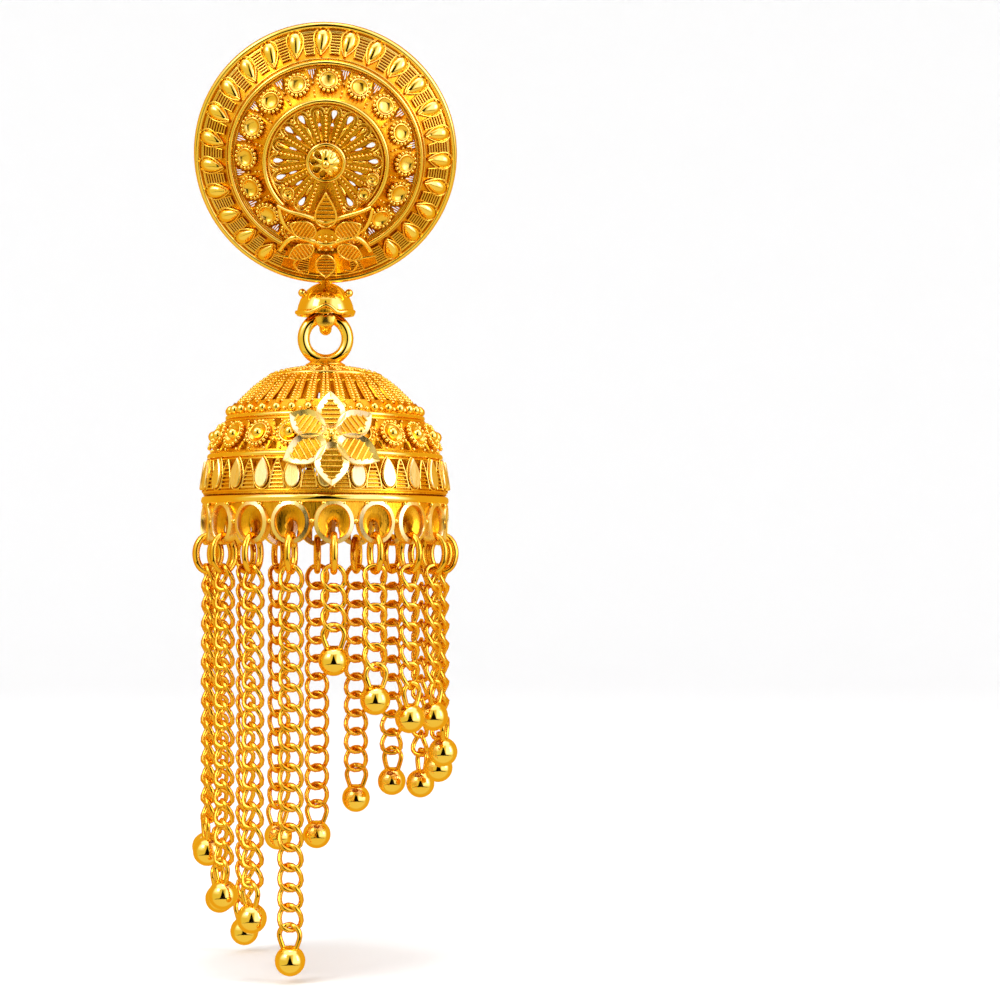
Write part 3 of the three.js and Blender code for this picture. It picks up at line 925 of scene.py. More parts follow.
    def tear_row(self, piece: Piece) -> None:
        """Adds the teardrops in their outlined seats, with a ladder between each two.

        Args:
            piece: what they are added to.
        """
        field_ = self.outer_field()
        middle = (field_[0] + field_[1]) / 2 + 0.12
        tear = drop_shape(self.tear_length, self.tear_width, 0.46)
        outline = tear_points(self.tear_length + 0.3, self.tear_width + 0.26)
        seat = pattern_wire(outline, 0.08, 5, closed=True, gold=Gold.PLATE)
        tail = pattern_wire([Vector((0.0, -0.9, 0.1)), Vector((0.12, -1.35, 0.1))], 0.1, 6,
                            gold=Gold.PLATE)
        whole = merged(tear, seat, tail)
        for angle in circle_angles(self.tears, self.tear_turn):
            if self.clear(angle, -2):
                swing = Matrix.Rotation(math.radians(self.tear_swing), 4, "Z")
                here = self.on_field(field_, angle, middle) @ swing
                piece.stamp(whole, here @ Matrix.Translation((0, 0, 0.12)))
        rungs = 8
        reach = field_[1] - field_[0] - 0.5
        ladder = Pattern()
        for i in range(rungs):
            share = i / (rungs - 1)
            place = Matrix.Translation((0, (share - 0.5) * reach, 0.1))
            ladder.rod(lerp(0.7, 1.2, share), 0.09, 6, place=place)
        rails = Pattern()
        for side in (-1, 1):
            turn = Matrix.Rotation(math.pi / 2 - side * 0.1, 4, "Z")
            rails.rod(reach + 0.2, 0.07, 5, place=Matrix.Translation((side * 0.5, 0, 0.08)) @ turn)
        steps = merged(ladder.done(Gold.PLATE, 75), rails.done(Gold.WIRE, 75))
        for angle in circle_angles(self.tears, self.tear_turn + 180.0 / self.tears):
            piece.stamp(steps, self.on_field(field_, angle, field_[0] + reach / 2 + 0.25))

    def rosette_row(self, piece: Piece) -> None:
        """Adds the beaded rosettes, with beads and a barred window between each two.

        Args:
            piece: what they are added to.
        """
        field_ = self.mid_field()
        middle = (field_[0] + field_[1]) / 2 + 0.02
        whole = rosette(self.rosette_radius, 16)
        bead = Pattern().ball(0.13, 8, 5).done(Gold.BRIGHT, 80)
        bars = Pattern()
        for x in (-0.3, -0.1, 0.1, 0.3):
            bars.rod(0.8, 0.06, 4, place=Matrix.Translation((x, 0, 0))
                     @ Matrix.Rotation(math.pi / 2, 4, "Z"))
        mesh_bars = bars.done(Gold.PLATE, 80)
        step = 180.0 / self.rosettes
        for angle in circle_angles(self.rosettes, self.rosette_turn):
            if not self.clear(angle, -6):
                continue
            piece.stamp(whole, self.on_field(field_, angle, middle))
            if self.clear(angle + step):
                piece.stamp(mesh_bars, self.on_field(field_, angle + step, self.mid_radius - 0.8)
                            @ Matrix.Translation((0, 0, -0.1)))
                for radius in (field_[0] + 0.16, field_[0] + 0.5, middle - 0.1):
                    piece.stamp(bead, self.on_field(field_, angle + step, radius)
                                @ Matrix.Translation((0, 0, 0.06)))

    def hub(self, piece: Piece) -> None:
        """Adds the beaded spokes, the polished drops, the leaves and the arches at their ends.

        Args:
            piece: what they are added to.
        """
        flat = self.hub_depth - 0.02
        inner, outer = self.boss_radius + 0.12, self.inner_radius - 0.7
        beads = Pattern()
        count = 9
        for i in range(count):
            share = i / (count - 1)
            size = lerp(0.14, 0.19, share)
            beads.ball(size, 8, 5, Matrix.Translation((0, lerp(inner, outer, share), 0.08)))
        spoke = beads.done(Gold.BRIGHT, 80)
        for angle in circle_angles(self.spokes):
            if self.clear(angle, -10):
                piece.stamp(spoke, self.spot(angle, 0, flat))
        arch = smoothed([Vector((x, y, 0)) for x, y in (
            (-0.66, 0.42), (-0.6, 0.82), (-0.34, 1.12), (0.0, 1.2), (0.34, 1.12), (0.6, 0.82),
            (0.66, 0.42))], 1)
        arch_mesh = pattern_wire(arch, 0.095, 6, gold=Gold.BRIGHT)
        inset = pattern_wire([Vector((p.x * 0.62, p.y * 0.8 - 0.1, 0.0)) for p in arch], 0.06, 5,
                             gold=Gold.PLATE)
        drop = drop_shape(0.95, 0.42, 0.2, 10, 6)
        leaf = drop_shape(1.3, 0.34, 0.16, 8, 6, Gold.PLATE)
        cup = rosette(0.6, 0)
        for i, angle in enumerate(circle_angles(self.spokes, 180.0 / self.spokes)):
            if not self.clear(angle, -12):
                continue
            here = self.spot(angle, self.inner_radius - 1.62, flat + 0.1)
            piece.stamp(arch_mesh, here).stamp(inset, here)
            if i % 3 == 2:
                piece.stamp(drop, self.spot(angle, self.inner_radius - 1.2, flat + 0.04))
            if i % 3 == 1:
                piece.stamp(leaf, self.spot(angle, self.boss_radius + 1.15, flat + 0.02))
            if i in (5, 6, 11):
                piece.stamp(cup, self.spot(angle, self.inner_radius - 1.05, flat + 0.14))

    def wave(self, piece: Piece, depth: float, fall: float, wire: list[float],
             path: tuple[Row, ...], gold: Gold = Gold.BRIGHT) -> None:
        """Adds a polished ribbon that crosses the lower part of the disc.

        Args:
            piece: what it is added to.
            depth: how far in front of the disc's back it lies at the disc's middle height.
            fall: how much nearer the back it is for each millimetre further down.
            wire: radius of its wire, at the ends and in the middle.
            path: places on it, right of and above the disc's middle.
            gold: its finish.
        """
        points = smoothed([Vector((x, y, depth + fall * y)) for x, y in path], 3)
        last = len(points) - 1
        radii = [lerp(wire[0], wire[1], math.sin(math.pi * i / last)) for i in range(last + 1)]
        piece.stamp(pattern_wire(points, radii, 8, gold=gold), self.face)

    def ledges(self, piece: Piece) -> None:
        """Adds the wavy ribbons, side leaves and small curls that hold the flower.

        Args:
            piece: what they are added to.
        """
        self.wave(piece, 7.2, 0.42, [0.16, 0.24], (
            (-4.4, -3.75), (-3.3, -4.35), (-1.9, -4.75), (-0.7, -5.2), (0.0, -5.4), (0.9, -5.1),
            (1.9, -4.75), (3.2, -4.3), (4.1, -3.85)))
        self.wave(piece, 7.15, 0.42, [0.2, 0.34], (
            (-4.15, -8.3), (-3.5, -7.35), (-2.75, -6.95), (-1.8, -7.1), (-0.9, -7.4), (0.0, -7.6),
            (0.9, -7.4), (1.75, -7.05), (2.7, -6.95), (3.45, -7.4), (4.1, -8.3)))
        for side in (-1, 1):
            self.wave(piece, 7.0, 0.42, [0.14, 0.22], (
                (side * 4.2, -4.1), (side * 3.95, -5.2), (side * 3.45, -6.1), (side * 2.7, -6.7)))
            self.wave(piece, 6.3, 0.42, [0.1, 0.2], (
                (side * 4.7, -8.9), (side * 3.6, -9.15), (side * 2.2, -9.2), (side * 1.2, -9.1)))
            self.wave(piece, 6.1, 0.42, [0.08, 0.13], (
                (side * 1.3, -9.2), (side * 2.3, -9.3), (side * 2.9, -9.9), (side * 2.5, -10.6),
                (side * 1.7, -10.5)), Gold.PLATE)
        bead = Pattern().ball(0.17, 8, 6).done(Gold.BRIGHT, 80)
        for x in (-0.6, 0.0, 0.6):
            piece.stamp(bead, self.face @ Matrix.Translation((x, -8.15, 3.75)))

    def disc(self) -> Piece:
        """The whole disc, as one piece.

        Returns:
            The piece.
        """
        piece = Piece("stud_filigree", "stud", "gold_plate", ("stud_disc",))
        piece.stamp(self.shell(), self.face)
        self.rings(piece)
        self.tear_row(piece)
        self.rosette_row(piece)
        self.hub(piece)
        self.ledges(piece)
        return piece

    def boss(self) -> Piece:
        """The domed flower at the disc's middle, open between its struts on the left.

        Returns:
            The piece.
        """
        piece = Piece("stud_boss_flower", "stud", "gold_bright", ("stud_boss",))
        foot = self.hub_depth + 0.2
        wide = self.boss_radius
        base = [(0, foot), (wide, foot), (wide, foot + 0.3), (wide - 0.3, foot + 0.3),
                (wide - 0.34, foot + 0.06), (0, foot + 0.06)]
        # The foot under the domed flower is in the darker gold: painted shade.
        piece.stamp(Pattern().turned(base, 48).done(Gold.RECESS_SHADE), self.face)
        rim = Pattern().hoop(wide - 0.2, 0.2, 56, 10, place=Matrix.Translation((0, 0, foot + 0.36)))
        piece.stamp(rim.done(Gold.BRIGHT, 80), self.face)
        shell: list[Row] = []
        for radius, height in ((0, self.boss_height), (0.5, self.boss_height - 0.08),
                               (0.95, self.boss_height - 0.34), (1.3, 0.62), (wide - 0.36, 0.3)):
            shell.append((radius, foot + height))
        under = [(r * 0.93, h - 0.16) for r, h in reversed(shell)]
        dome = Pattern().turned(shell + under, 48).done(Gold.BRIGHT, 60)
        tools = Piece("gaps", "stud", "gold_plate", ())
        window = plate(tear_points(0.86, 0.56, 14), -9.0, 9.0).done(Gold.RECESS_SHADE)
        flat = self.face.inverted()
        for angle in (196.0, 236.0, 276.0, 316.0):
            tools.stamp(window, flat @ self.spot(angle, 0.98, 0))
        piece.stamp(cut(dome, tools.as_pattern()), self.face)
        petal = drop_shape(0.9, 0.62, 0.14, 12, 7)
        for angle in (0.0, 40.0, 80.0, 120.0, 158.0):
            tip = Matrix.Rotation(math.radians(-36), 4, "X")
            piece.stamp(petal, self.spot(angle, 0.98, foot + 0.94) @ tip)
        ball = Pattern().ball(0.4, 14, 9)
        piece.stamp(ball.done(Gold.BRIGHT, 80), self.spot(0, 0, foot + self.boss_height - 0.02))
        return piece

    def flower(self) -> Piece:
        """The six-petal flower laid over the disc's lower steps.

        Returns:
            The piece.
        """
        piece = Piece("stud_six_petals", "stud", "gold_bright", ("stud_flower",))
        seat = self.seat()
        for angle, foot, length, width in self.petals:
            outline = leaf_points(length, width, 24)
            if angle == 0:
                tear = tear_points(length, width, 24, 1.3)
                outline = [Vector((p.x, length / 2 - p.y, 0)) for p in tear]
            # Each petal's floor, under its rim and rods, is in the darker gold: painted shade.
            floor = plate(outline, 0.05, 0.2).done(Gold.RECESS_SHADE, 30)
            edge = [p + Vector((0, 0, 0.24)) for p in outline]
            rim = pattern_wire(edge, 0.1, 6, closed=True, gold=Gold.BRIGHT)
            rods = Pattern()
            for i in range(7):
                at = length * (i + 0.9) / 8
                wide = rim_width(outline, at)
                rods.rod(max(0.2, wide * 2 - 0.15), 0.09, 6,
                         place=Matrix.Translation((0, at, 0.22)))
            turn = Matrix.Rotation(math.radians(-angle), 4, "Z")
            here = seat @ turn @ Matrix.Translation((0, foot, 0.12))
            piece.stamp(merged(floor, rim, rods.done(Gold.PLATE, 75)), here)
        # The knob at the flower's middle is in the darker gold: painted shade.
        knob = Pattern().turned([(0, 0.0), (1.25, 0.0), (1.2, 0.24), (0.7, 0.34), (0, 0.4)], 24)
        piece.stamp(knob.done(Gold.RECESS_SHADE, 50), seat)
        beads = Pattern()
        for x, y in ((-0.55, 0.45), (0.0, 0.55), (0.55, 0.45), (-0.85, -0.1), (0.85, -0.1),
                     (0.0, -0.05), (-0.45, -0.6), (0.45, -0.6)):
            beads.ball(0.17, 8, 6, Matrix.Translation((x, y, 0.42)))
        piece.stamp(beads.done(Gold.BRIGHT, 80), seat)
        return piece

    def post(self) -> Piece:
        """The plain ear post with its pad.

        Returns:
            The piece.
        """
        piece = Piece("ear_post_turned", "stud", "gold_plate", ("ear_post",))
        back = self.hub_depth - self.wall - 0.4
        rows = [(0, 10.5), (0.25, 10.5), (0.36, 10.3), (0.42, 10.0), (0.42, 1.9), (0.33, 1.75),
                (0.33, 1.5), (0.42, 1.35), (0.42, 0.0), (2.45, 0.0), (2.6, -0.15), (2.6, -0.55),
                (2.45, -0.7), (1.1, -0.7), (1.1, -back), (0, -back)]
        behind = self.upright @ Matrix.Rotation(math.radians(-90), 4, "X")
        piece.stamp(Pattern().turned(rows, 40).done(Gold.PLATE), behind)
        return piece


def rim_width(outline: list[Vector], at: float) -> float:
    """Half the width of a leaf outline at a distance from its foot.

    Args:
        outline: the leaf's points.
        at: the distance along the leaf.

    Returns:
        The half width.
    """
    right = [p for p in outline if p.x >= 0]
    for a, b in zip(right, right[1:]):
        if a.y <= at <= b.y:
            return lerp(a.x, b.x, (at - a.y) / max(1e-6, b.y - a.y))
    return 0.1


def rosette(radius: float, beads: int) -> bpy.types.Mesh:
    """A lipped cup in a ring of beads.

    Args:
        radius: to the outside of the beads.
        beads: how many beads there are; none leaves the cup alone.

    Returns:
        The pattern's mesh.
    """
    size = math.pi * radius / beads * 0.78 if beads else 0.0
    lip = radius - size * 1.9 - 0.06
    rows = [(0, 0.0), (lip * 0.5, 0.03), (lip * 0.8, 0.12), (lip - 0.06, 0.26), (lip - 0.06, -0.12),
            (0, -0.12)]
    cup = Pattern().turned(rows, 20).done(Gold.PLATE, 60)
    edge = Pattern().hoop(lip, 0.085, 24, 6, place=Matrix.Translation((0, 0, 0.26)))
    ring = Pattern()
    for i in range(beads):
        turn = Matrix.Rotation(2 * math.pi * i / beads, 4, "Z")
        ring.ball(size, 8, 5, turn @ Matrix.Translation((radius - size, 0, 0.2)))
    return merged(cup, edge.done(Gold.BRIGHT, 80), ring.done(Gold.BRIGHT, 80))


def flower_on(piece: Piece, length: float, width: float, bars: int,
              bend: Callable[[Vector], Vector]) -> None:
    """Adds a six-petal flower with rimmed, ladder-hatched petals and a beaded middle.

    Args:
        piece: what the flower is added to.
        length: from the flower's middle to a petal's tip.
        width: across a petal.
        bars: how many ladder bars a petal has.
        bend: moves each point of the flat flower to where it goes.
    """
    foot = 0.62
    leaf = leaf_points(length - foot, width, 26)
    # The petals are in the paler gold, a painted highlight; their sunk floors get the darker gold
    # of painted shade.
    petal = plate(leaf, 0.06, 0.42, rim=0.42, sunk=0.3, edge=0.06).done(Gold.PALE_HIGHLIGHT, 30)
    rods = Pattern()
    for i in range(bars):
        at = (length - foot) * (0.17 + 0.62 * i / (bars - 1))
        wide = rim_width(leaf, at)
        rods.rod(max(0.25, wide * 2 - 0.95), 0.095, 6, 0.9, Matrix.Translation((0, at, 0.2)))
    ladder = rods.done(Gold.PLATE, 75)
    middle = Pattern().turned([(0, 0.1), (0.75, 0.1), (0.7, 0.45), (0.45, 0.6), (0, 0.68)], 24)
    beads = Pattern().ball(0.27, 10, 6, Matrix.Translation((0, 0, 0.72)))
    for turn in range(6):
        around = Matrix.Rotation(math.radians(60 * turn + 30), 4, "Z")
        beads.ball(0.16, 8, 5, around @ Matrix.Translation((0, 0.5, 0.6)))
    flat = Piece("flower", "", "", ())
    for turn in range(6):
        here = Matrix.Rotation(math.radians(60 * turn), 4, "Z") @ Matrix.Translation((0, foot, 0))
        flat.stamp(petal, here).stamp(ladder, here)
    flat.stamp(middle.done(Gold.PLATE, 50)).stamp(beads.done(Gold.BRIGHT, 80))
    for vert in flat.bm.verts:
        vert.co = bend(vert.co.copy())
    piece.stamp(flat.as_pattern())


# The hood and the drop


@dataclass
class Hanger:
    """The hood with its eye, and the plain ring that hangs in it."""

    hang_y: float
    hood_radius: float = 2.75
    hood_height: float = 3.1
    hood_wall: float = 0.4
    ball: float = 0.39
    ball_aside: float = 2.16
    eye_wire: float = 1.16
    eye_width: float = 2.7
    ring_wire: float = 1.13
    ring_outer: float = 5.2
    cap_radius: float = 1.85
    cap_height: float = 0.75

    def hood(self) -> Piece:
        """The cup with its wavy front, two solder balls and the hanger eye.

        Returns:
            The piece.
        """
        piece = Piece("hood_cup", "stud", "gold_plate", ("hood",))
        low, high = box_mm("hood")
        top = high.z
        foot = top - self.hood_height
        axis = Matrix.Translation((0, self.hang_y, foot))
        rows: list[Row] = []
        for i in range(11):
            t = math.radians(90 * i / 10)
            rows.append((self.hood_radius * 0.97 * math.sin(t), self.hood_height * math.cos(t)))
        wall = self.hood_wall
        for i in range(10, -1, -1):
            t = math.radians(90 * i / 10)
            rows.append(((self.hood_radius - wall) * math.sin(t),
                         (self.hood_height - wall) * math.cos(t)))
        piece.stamp(Pattern().turned(rows, 56).done(Gold.BRIGHT, 50), axis)
        lip = Pattern().hoop(self.hood_radius - 0.22, 0.22, 56, 8,
                             place=Matrix.Translation((0, 0, 0.22)))
        piece.stamp(lip.done(Gold.BRIGHT, 80), axis)
        self.wave(piece, axis)
        bead = Pattern().ball(self.ball, 12, 8).done(Gold.BRIGHT, 80)
        turn = math.asin(self.ball_aside / self.hood_radius)
        height = self.hood_height * math.cos(turn) + self.ball * 0.35
        for side in (-1, 1):
            piece.stamp(bead, axis @ Matrix.Translation((side * self.ball_aside, -0.55, height)))
        eye_low = low.z + self.eye_wire / 2
        eye_half = (top - wall / 2 - eye_low) / 2
        wide = self.eye_width / 2
        path = [Vector((0, self.hang_y + wide * math.sin(t), eye_low + eye_half
                        + eye_half * math.cos(t))) for t in
                (2 * math.pi * i / 40 for i in range(40))]
        piece.stamp(pattern_wire(path, self.eye_wire / 2, 14, closed=True, gold=Gold.BRIGHT))
        return piece

    def wave(self, piece: Piece, axis: Matrix) -> None:
        """Adds the pale wavy lip on the cup's front, and painted shade in the hollow under its
        peak.

        Args:
            piece: what they are added to.
            axis: the place of the cup's foot.
        """
        knots = ((-2.66, 0.2), (-1.65, 0.1), (-1.37, 0.1), (-0.64, 0.42), (0.0, 0.72), (0.55, 0.5),
                 (0.96, 0.16), (1.28, 0.08), (1.83, 0.18), (2.6, 0.26))
        path = []
        for knot in smoothed([Vector((x, 0, up)) for x, up in knots], 3):
            out = math.sqrt(max(0.05, (self.hood_radius + 0.02) ** 2 - knot.x ** 2))
            path.append(Vector((knot.x, -out, knot.z)))
        piece.stamp(pattern_wire(path, 0.21, 8, gold=Gold.BRIGHT), axis)
        # A flat ball in the darker gold stands for the shade inside the hollow: painted shade.
        hollow = Pattern().ball(1.0, 14, 8, Matrix.Diagonal((0.78, 0.12, 0.3, 1)))
        piece.stamp(hollow.done(Gold.RECESS_SHADE, 80), axis
                    @ Matrix.Translation((-0.12, -self.hood_radius + 0.02, 0.2)))
        wing = Pattern().ball(1.0, 16, 10, Matrix.Diagonal((0.98, 0.42, 1.05, 1)))
        piece.stamp(wing.done(Gold.PLATE, 80), axis @ Matrix.Translation((0, -1.38, -0.35)))

    def ring(self) -> Piece:
        """The plain ring with the small cap it is soldered to.

        Returns:
            The piece.
        """
        piece = Piece("hanging_ring", "drop", "gold_plate", ("drop_ring",))
        low, high = box_mm("drop_ring")
        radius = (self.ring_outer - self.ring_wire) / 2
        centre = Matrix.Translation((0, self.hang_y, high.z - self.ring_outer / 2))
        hoop = Pattern().hoop(radius, self.ring_wire / 2, 72, 16,
                              place=Matrix.Rotation(math.pi / 2, 4, "X"))
        piece.stamp(hoop.done(Gold.BRIGHT, 80), centre)
        foot, tall, wide = low.z, self.cap_height, self.cap_radius
        rows = [(0, 0), (wide - 0.08, 0), (wide, 0.08), (wide, 0.2), (wide * 0.86, 0.34),
                (wide * 0.62, 0.6), (wide * 0.35, tall), (0, tall)]
        cap = Pattern().turned(rows, 40).done(Gold.PLATE, 45)
        piece.stamp(cap, Matrix.Translation((0, self.hang_y, foot)))
        return piece


@dataclass
class Bell:
    """The pierced dome with its bands, ribs, rosettes, leaves and flower."""

    hang_y: float
    foot: float
    foot_radius: float = 11.25
    height: float = 11.9
    wall: float = 0.45
    slots: int = 36
    rosettes: int = 20
    rosette_radius: float = 1.36
    leaves: int = 24
    leaf_length: float = 2.7
    leaf_width: float = 1.05
    petal: float = 4.4
    petal_width: float = 2.7
    flower_aside: float = 0.5
    flower_height: float = 4.7
    shares: tuple[Row, ...] = ((1.0, 0.0), (0.947, 0.297), (0.8, 0.6), (0.662, 0.775),
                               (0.452, 0.935), (0.165, 1.0))
    skin: list[Row] = field(default_factory=list)

    def __post_init__(self) -> None:
        """Draws the smooth skin through the CAD's rows."""
        rows = [(r * self.foot_radius, self.foot + h * self.height) for r, h in self.shares]
        lead = (rows[0][0] + 0.25, rows[0][1] - 3.4)
        tail = (-rows[-1][0], rows[-1][1])
        knots = [lead, *rows, tail]
        for i in range(1, len(knots) - 2):
            for j in range(10):
                self.skin.append(spline(knots[i - 1:i + 3], j / 10))
        self.skin.append(rows[-1])

    def at(self, height: float) -> tuple[float, float]:
        """Radius and lean in degrees of the skin at a height.

        Args:
            height: the height in millimetres.

        Returns:
            The radius, and the lean.
        """
        for low, high in zip(self.skin, self.skin[1:]):
            if low[1] <= height <= high[1] or high is self.skin[-1] or height < low[1]:
                share = (height - low[1]) / max(1e-6, high[1] - low[1])
                lean = math.degrees(math.atan2(low[0] - high[0], high[1] - low[1]))
                return lerp(low[0], high[0], share), lean
        return self.skin[-1][0], 80.0

    def row(self, index: int) -> float:
        """The height of one of the CAD's rows.

        Args:
            index: which row, counted from the foot.

        Returns:
            Its height.
        """
        return self.foot + self.shares[index][1] * self.height

    def spot(self, angle: float, height: float) -> Matrix:
        """A place on the bell's skin.

        Args:
            angle: degrees from the front towards +X.
            height: height of the place.

        Returns:
            The place, with X round the bell, Y up its skin and Z away from it.
        """
        radius, lean = self.at(height)
        return (hung(self.hang_y, angle, radius, height)
                @ Matrix.Rotation(math.radians(-lean), 4, "X"))

    def shell(self) -> bpy.types.Mesh:
        """The dome's wall with its gaps cut through.

        Returns:
            The wall's mesh.
        """
        inner = []
        for radius, height in self.skin[::3]:
            _, lean = self.at(height)
            thick = math.radians(lean)
            inner.append((max(0.4, radius - self.wall * math.cos(thick)),
                          height - self.wall * math.sin(thick)))
        inner[0] = (self.foot_radius - self.wall, self.foot)
        top = self.foot + self.height
        inner = [p for p in inner if p[1] < top - self.wall - 0.1]
        rows = [(0, top - self.wall), *reversed(inner), *self.skin, (0, top)]
        # The dome's wall behind the ribs and bands is in the darker gold: painted shade.
        solid = Pattern().turned(rows, 120).done(Gold.RECESS_SHADE)
        tools = Piece("gaps", "drop", "gold_plate", ())
        deep = 2.2
        lift = self.row(3)
        slot = plate([Vector(p) for p in ((-0.2, -1.3, 0), (0.2, -1.3, 0), (0.13, 1.2, 0),
                                          (-0.13, 1.2, 0))], -deep, deep).done(Gold.RECESS_SHADE)
        diamond = plate([Vector(p) for p in ((0, -0.5, 0), (0.42, 0.32, 0), (-0.42, 0.32, 0))],
                        -deep, deep).done(Gold.RECESS_SHADE)
        point = plate([Vector(p) for p in ((-0.42, -0.3, 0), (0.42, -0.3, 0), (0, 0.45, 0))],
                      -deep, deep).done(Gold.RECESS_SHADE)
        oval = plate(tear_points(1.75, 0.84, 12, 0.6), -deep, deep).done(Gold.RECESS_SHADE)
        flat = Matrix.Translation((0, -self.hang_y, 0))
        for angle in circle_angles(self.slots, 5):
            tools.stamp(slot, flat @ self.spot(angle, lift + 0.25))
        low, high = self.row(1), self.row(2)
        for angle in circle_angles(self.rosettes, 180.0 / self.rosettes):
            tools.stamp(diamond, flat @ self.spot(angle, high - 0.75))
            tools.stamp(point, flat @ self.spot(angle, low + 0.72))
        for side in (-1, 1):
            for angle in circle_angles(self.leaves, 180.0 / self.leaves + side * 3.1):
                tilt = Matrix.Rotation(math.radians(side * 8), 4, "Z")
                tools.stamp(oval, flat @ self.spot(angle, low - 1.2) @ tilt)
        return cut(solid, tools.as_pattern())

    def bands(self, piece: Piece) -> None:
        """Adds the polished bands.

        Args:
            piece: what they are added to.
        """
        for index, wire, tall in ((1, 0.26, 1.1), (2, 0.24, 1.0), (4, 0.2, 0.9)):
            height = self.row(index)
            radius, _ = self.at(height)
            lift = Matrix.Translation((0, self.hang_y, height))
            band = Pattern().hoop(radius, wire, 144, 10, tall)
            piece.stamp(band.done(Gold.BRIGHT, 80), lift)
        for index, drop in ((1, -0.42), (2, -0.36), (0, 0.25)):
            height = self.row(index) + drop
            radius, _ = self.at(height)
            lift = Matrix.Translation((0, self.hang_y, height))
            piece.stamp(Pattern().hoop(radius, 0.12, 144, 6).done(Gold.WIRE, 80), lift)

    def crown(self, piece: Piece) -> None:
        """Adds the twin-beaded ribs, the beaded spokes over them and the row of beads below.

        Args:
            piece: what they are added to.
        """
        bead_row = self.row(2) + 0.55
        big = Pattern().ball(0.45, 12, 8).done(Gold.BRIGHT, 80)
        small = Pattern().ball(0.24, 8, 6).done(Gold.BRIGHT, 80)
        rib = 360.0 / self.slots
        for angle in circle_angles(self.slots):
            piece.stamp(big, self.spot(angle, bead_row) @ Matrix.Translation((0, 0, 0.15)))
            piece.stamp(small, self.spot(angle + rib / 2, bead_row - 0.05))
        sizes = [Pattern().ball(size, 6, 4).done(Gold.BRIGHT, 80) for size in (0.17, 0.15, 0.13)]
        # A short ridge in the darker gold of painted shade sits under each rib.
        ridge = Pattern().rod(0.3, 0.34, 6).done(Gold.RECESS_SHADE, 30)
        steps = 12
        for angle in circle_angles(self.slots):
            for i in range(steps):
                height = lerp(bead_row + 0.68, self.row(4) - 0.12, i / (steps - 1))
                aside = math.degrees(lerp(0.24, 0.15, i / (steps - 1)) / self.at(height)[0])
                for side in (-1, 1):
                    piece.stamp(sizes[i * 3 // steps], self.spot(angle + side * aside, height))
            piece.stamp(ridge, self.spot(angle, bead_row + 0.5))
        top, brim = self.row(4), self.at(self.row(4))[0] - 0.4
        for angle in circle_angles(24):
            for i in range(6):
                radius = lerp(brim, 2.05, i / 5)
                height = lerp(top + 0.24, self.row(5) + 0.02, (i / 5) ** 0.75)
                for side in (-1, 1):
                    aside = math.degrees(0.14 / radius) * (i < 4)
                    if aside or side > 0:
                        piece.stamp(sizes[1], hung(self.hang_y, angle + side * aside, radius,
                                                   height))

    def rosette_row(self, piece: Piece) -> None:
        """Adds the rosettes with a ball in each, and small beads between them.

        Args:
            piece: what they are added to.
        """
        middle = (self.row(1) + self.row(2)) / 2 - 0.06
        whole = rosette(self.rosette_radius, 18)
        ball = Pattern().ball(0.54, 16, 10, Matrix.Translation((0, 0, 0.26)))
        whole = merged(whole, ball.done(Gold.BRIGHT, 80))
        bead = Pattern().ball(0.18, 8, 6).done(Gold.BRIGHT, 80)
        tiny = Pattern().ball(0.13, 6, 4).done(Gold.BRIGHT, 80)
        for angle in circle_angles(self.rosettes):
            piece.stamp(whole, self.spot(angle, middle) @ Matrix.Translation((0, 0, 0.1)))
            for up in (-0.5, -0.05, 0.42):
                piece.stamp(bead, self.spot(angle + 180.0 / self.rosettes, middle + up))
            for side in (-1, 1):
                piece.stamp(bead, self.spot(angle + side * 4.6, self.row(1) + 0.48))
                piece.stamp(tiny, self.spot(angle + side * 6.4, self.row(2) - 0.6))

    def leaf_row(self, piece: Piece) -> None:
        """Adds the polished leaves, and the pointed ladders between them.

        Args:
            piece: what they are added to.
        """
        middle = (self.foot + self.row(1)) / 2 + 0.02
        flip = Matrix.Rotation(math.pi, 4, "Z")
        # The leaves are in the paler gold: painted highlight.
        leaf = plate(tear_points(self.leaf_length, self.leaf_width + 0.2, 22, 0.7), 0.0, 0.26,
                     edge=0.09).done(Gold.PALE_HIGHLIGHT, 30)
        outline = tear_points(self.leaf_length + 0.3, self.leaf_width + 0.5, 22, 0.7)
        whole = merged(leaf, pattern_wire(outline, 0.08, 5, closed=True, gold=Gold.PLATE))
        for angle in circle_angles(self.leaves):
            piece.stamp(whole, self.spot(angle, middle) @ flip
                        @ Matrix.Translation((0, 0, 0.06)))
        low, tall = self.foot + 0.42, self.row(1) - 0.5 - self.foot - 0.42
        ladder = Pattern()
        for i in range(8):
            share = i / 7
            place = Matrix.Translation((0, (share - 0.5) * tall * 0.94, 0.08))
            ladder.rod(lerp(1.3, 0.28, share ** 1.15), 0.095, 6, place=place)
        steps = ladder.done(Gold.PLATE, 75)
        for side in (-1, 1):
            path = [Vector((side * x, y, 0.1)) for x, y in (
                (0.72, -tall * 0.5), (0.62, -tall * 0.2), (0.36, tall * 0.2), (0.06, tall * 0.5))]
            steps = merged(steps, pattern_wire(smoothed(path, 2), 0.085, 6, gold=Gold.BRIGHT))
        for angle in circle_angles(self.leaves, 180.0 / self.leaves):
            piece.stamp(steps, self.spot(angle, low + tall / 2))

    def dome(self) -> Piece:
        """The whole bell, as one piece.

        Returns:
            The piece.
        """
        piece = Piece("bell_filigree", "drop", "gold_plate", ("dome",))
        piece.stamp(self.shell(), Matrix.Translation((0, self.hang_y, 0)))
        self.bands(piece)
        self.crown(piece)
        self.rosette_row(piece)
        self.leaf_row(piece)
        return piece

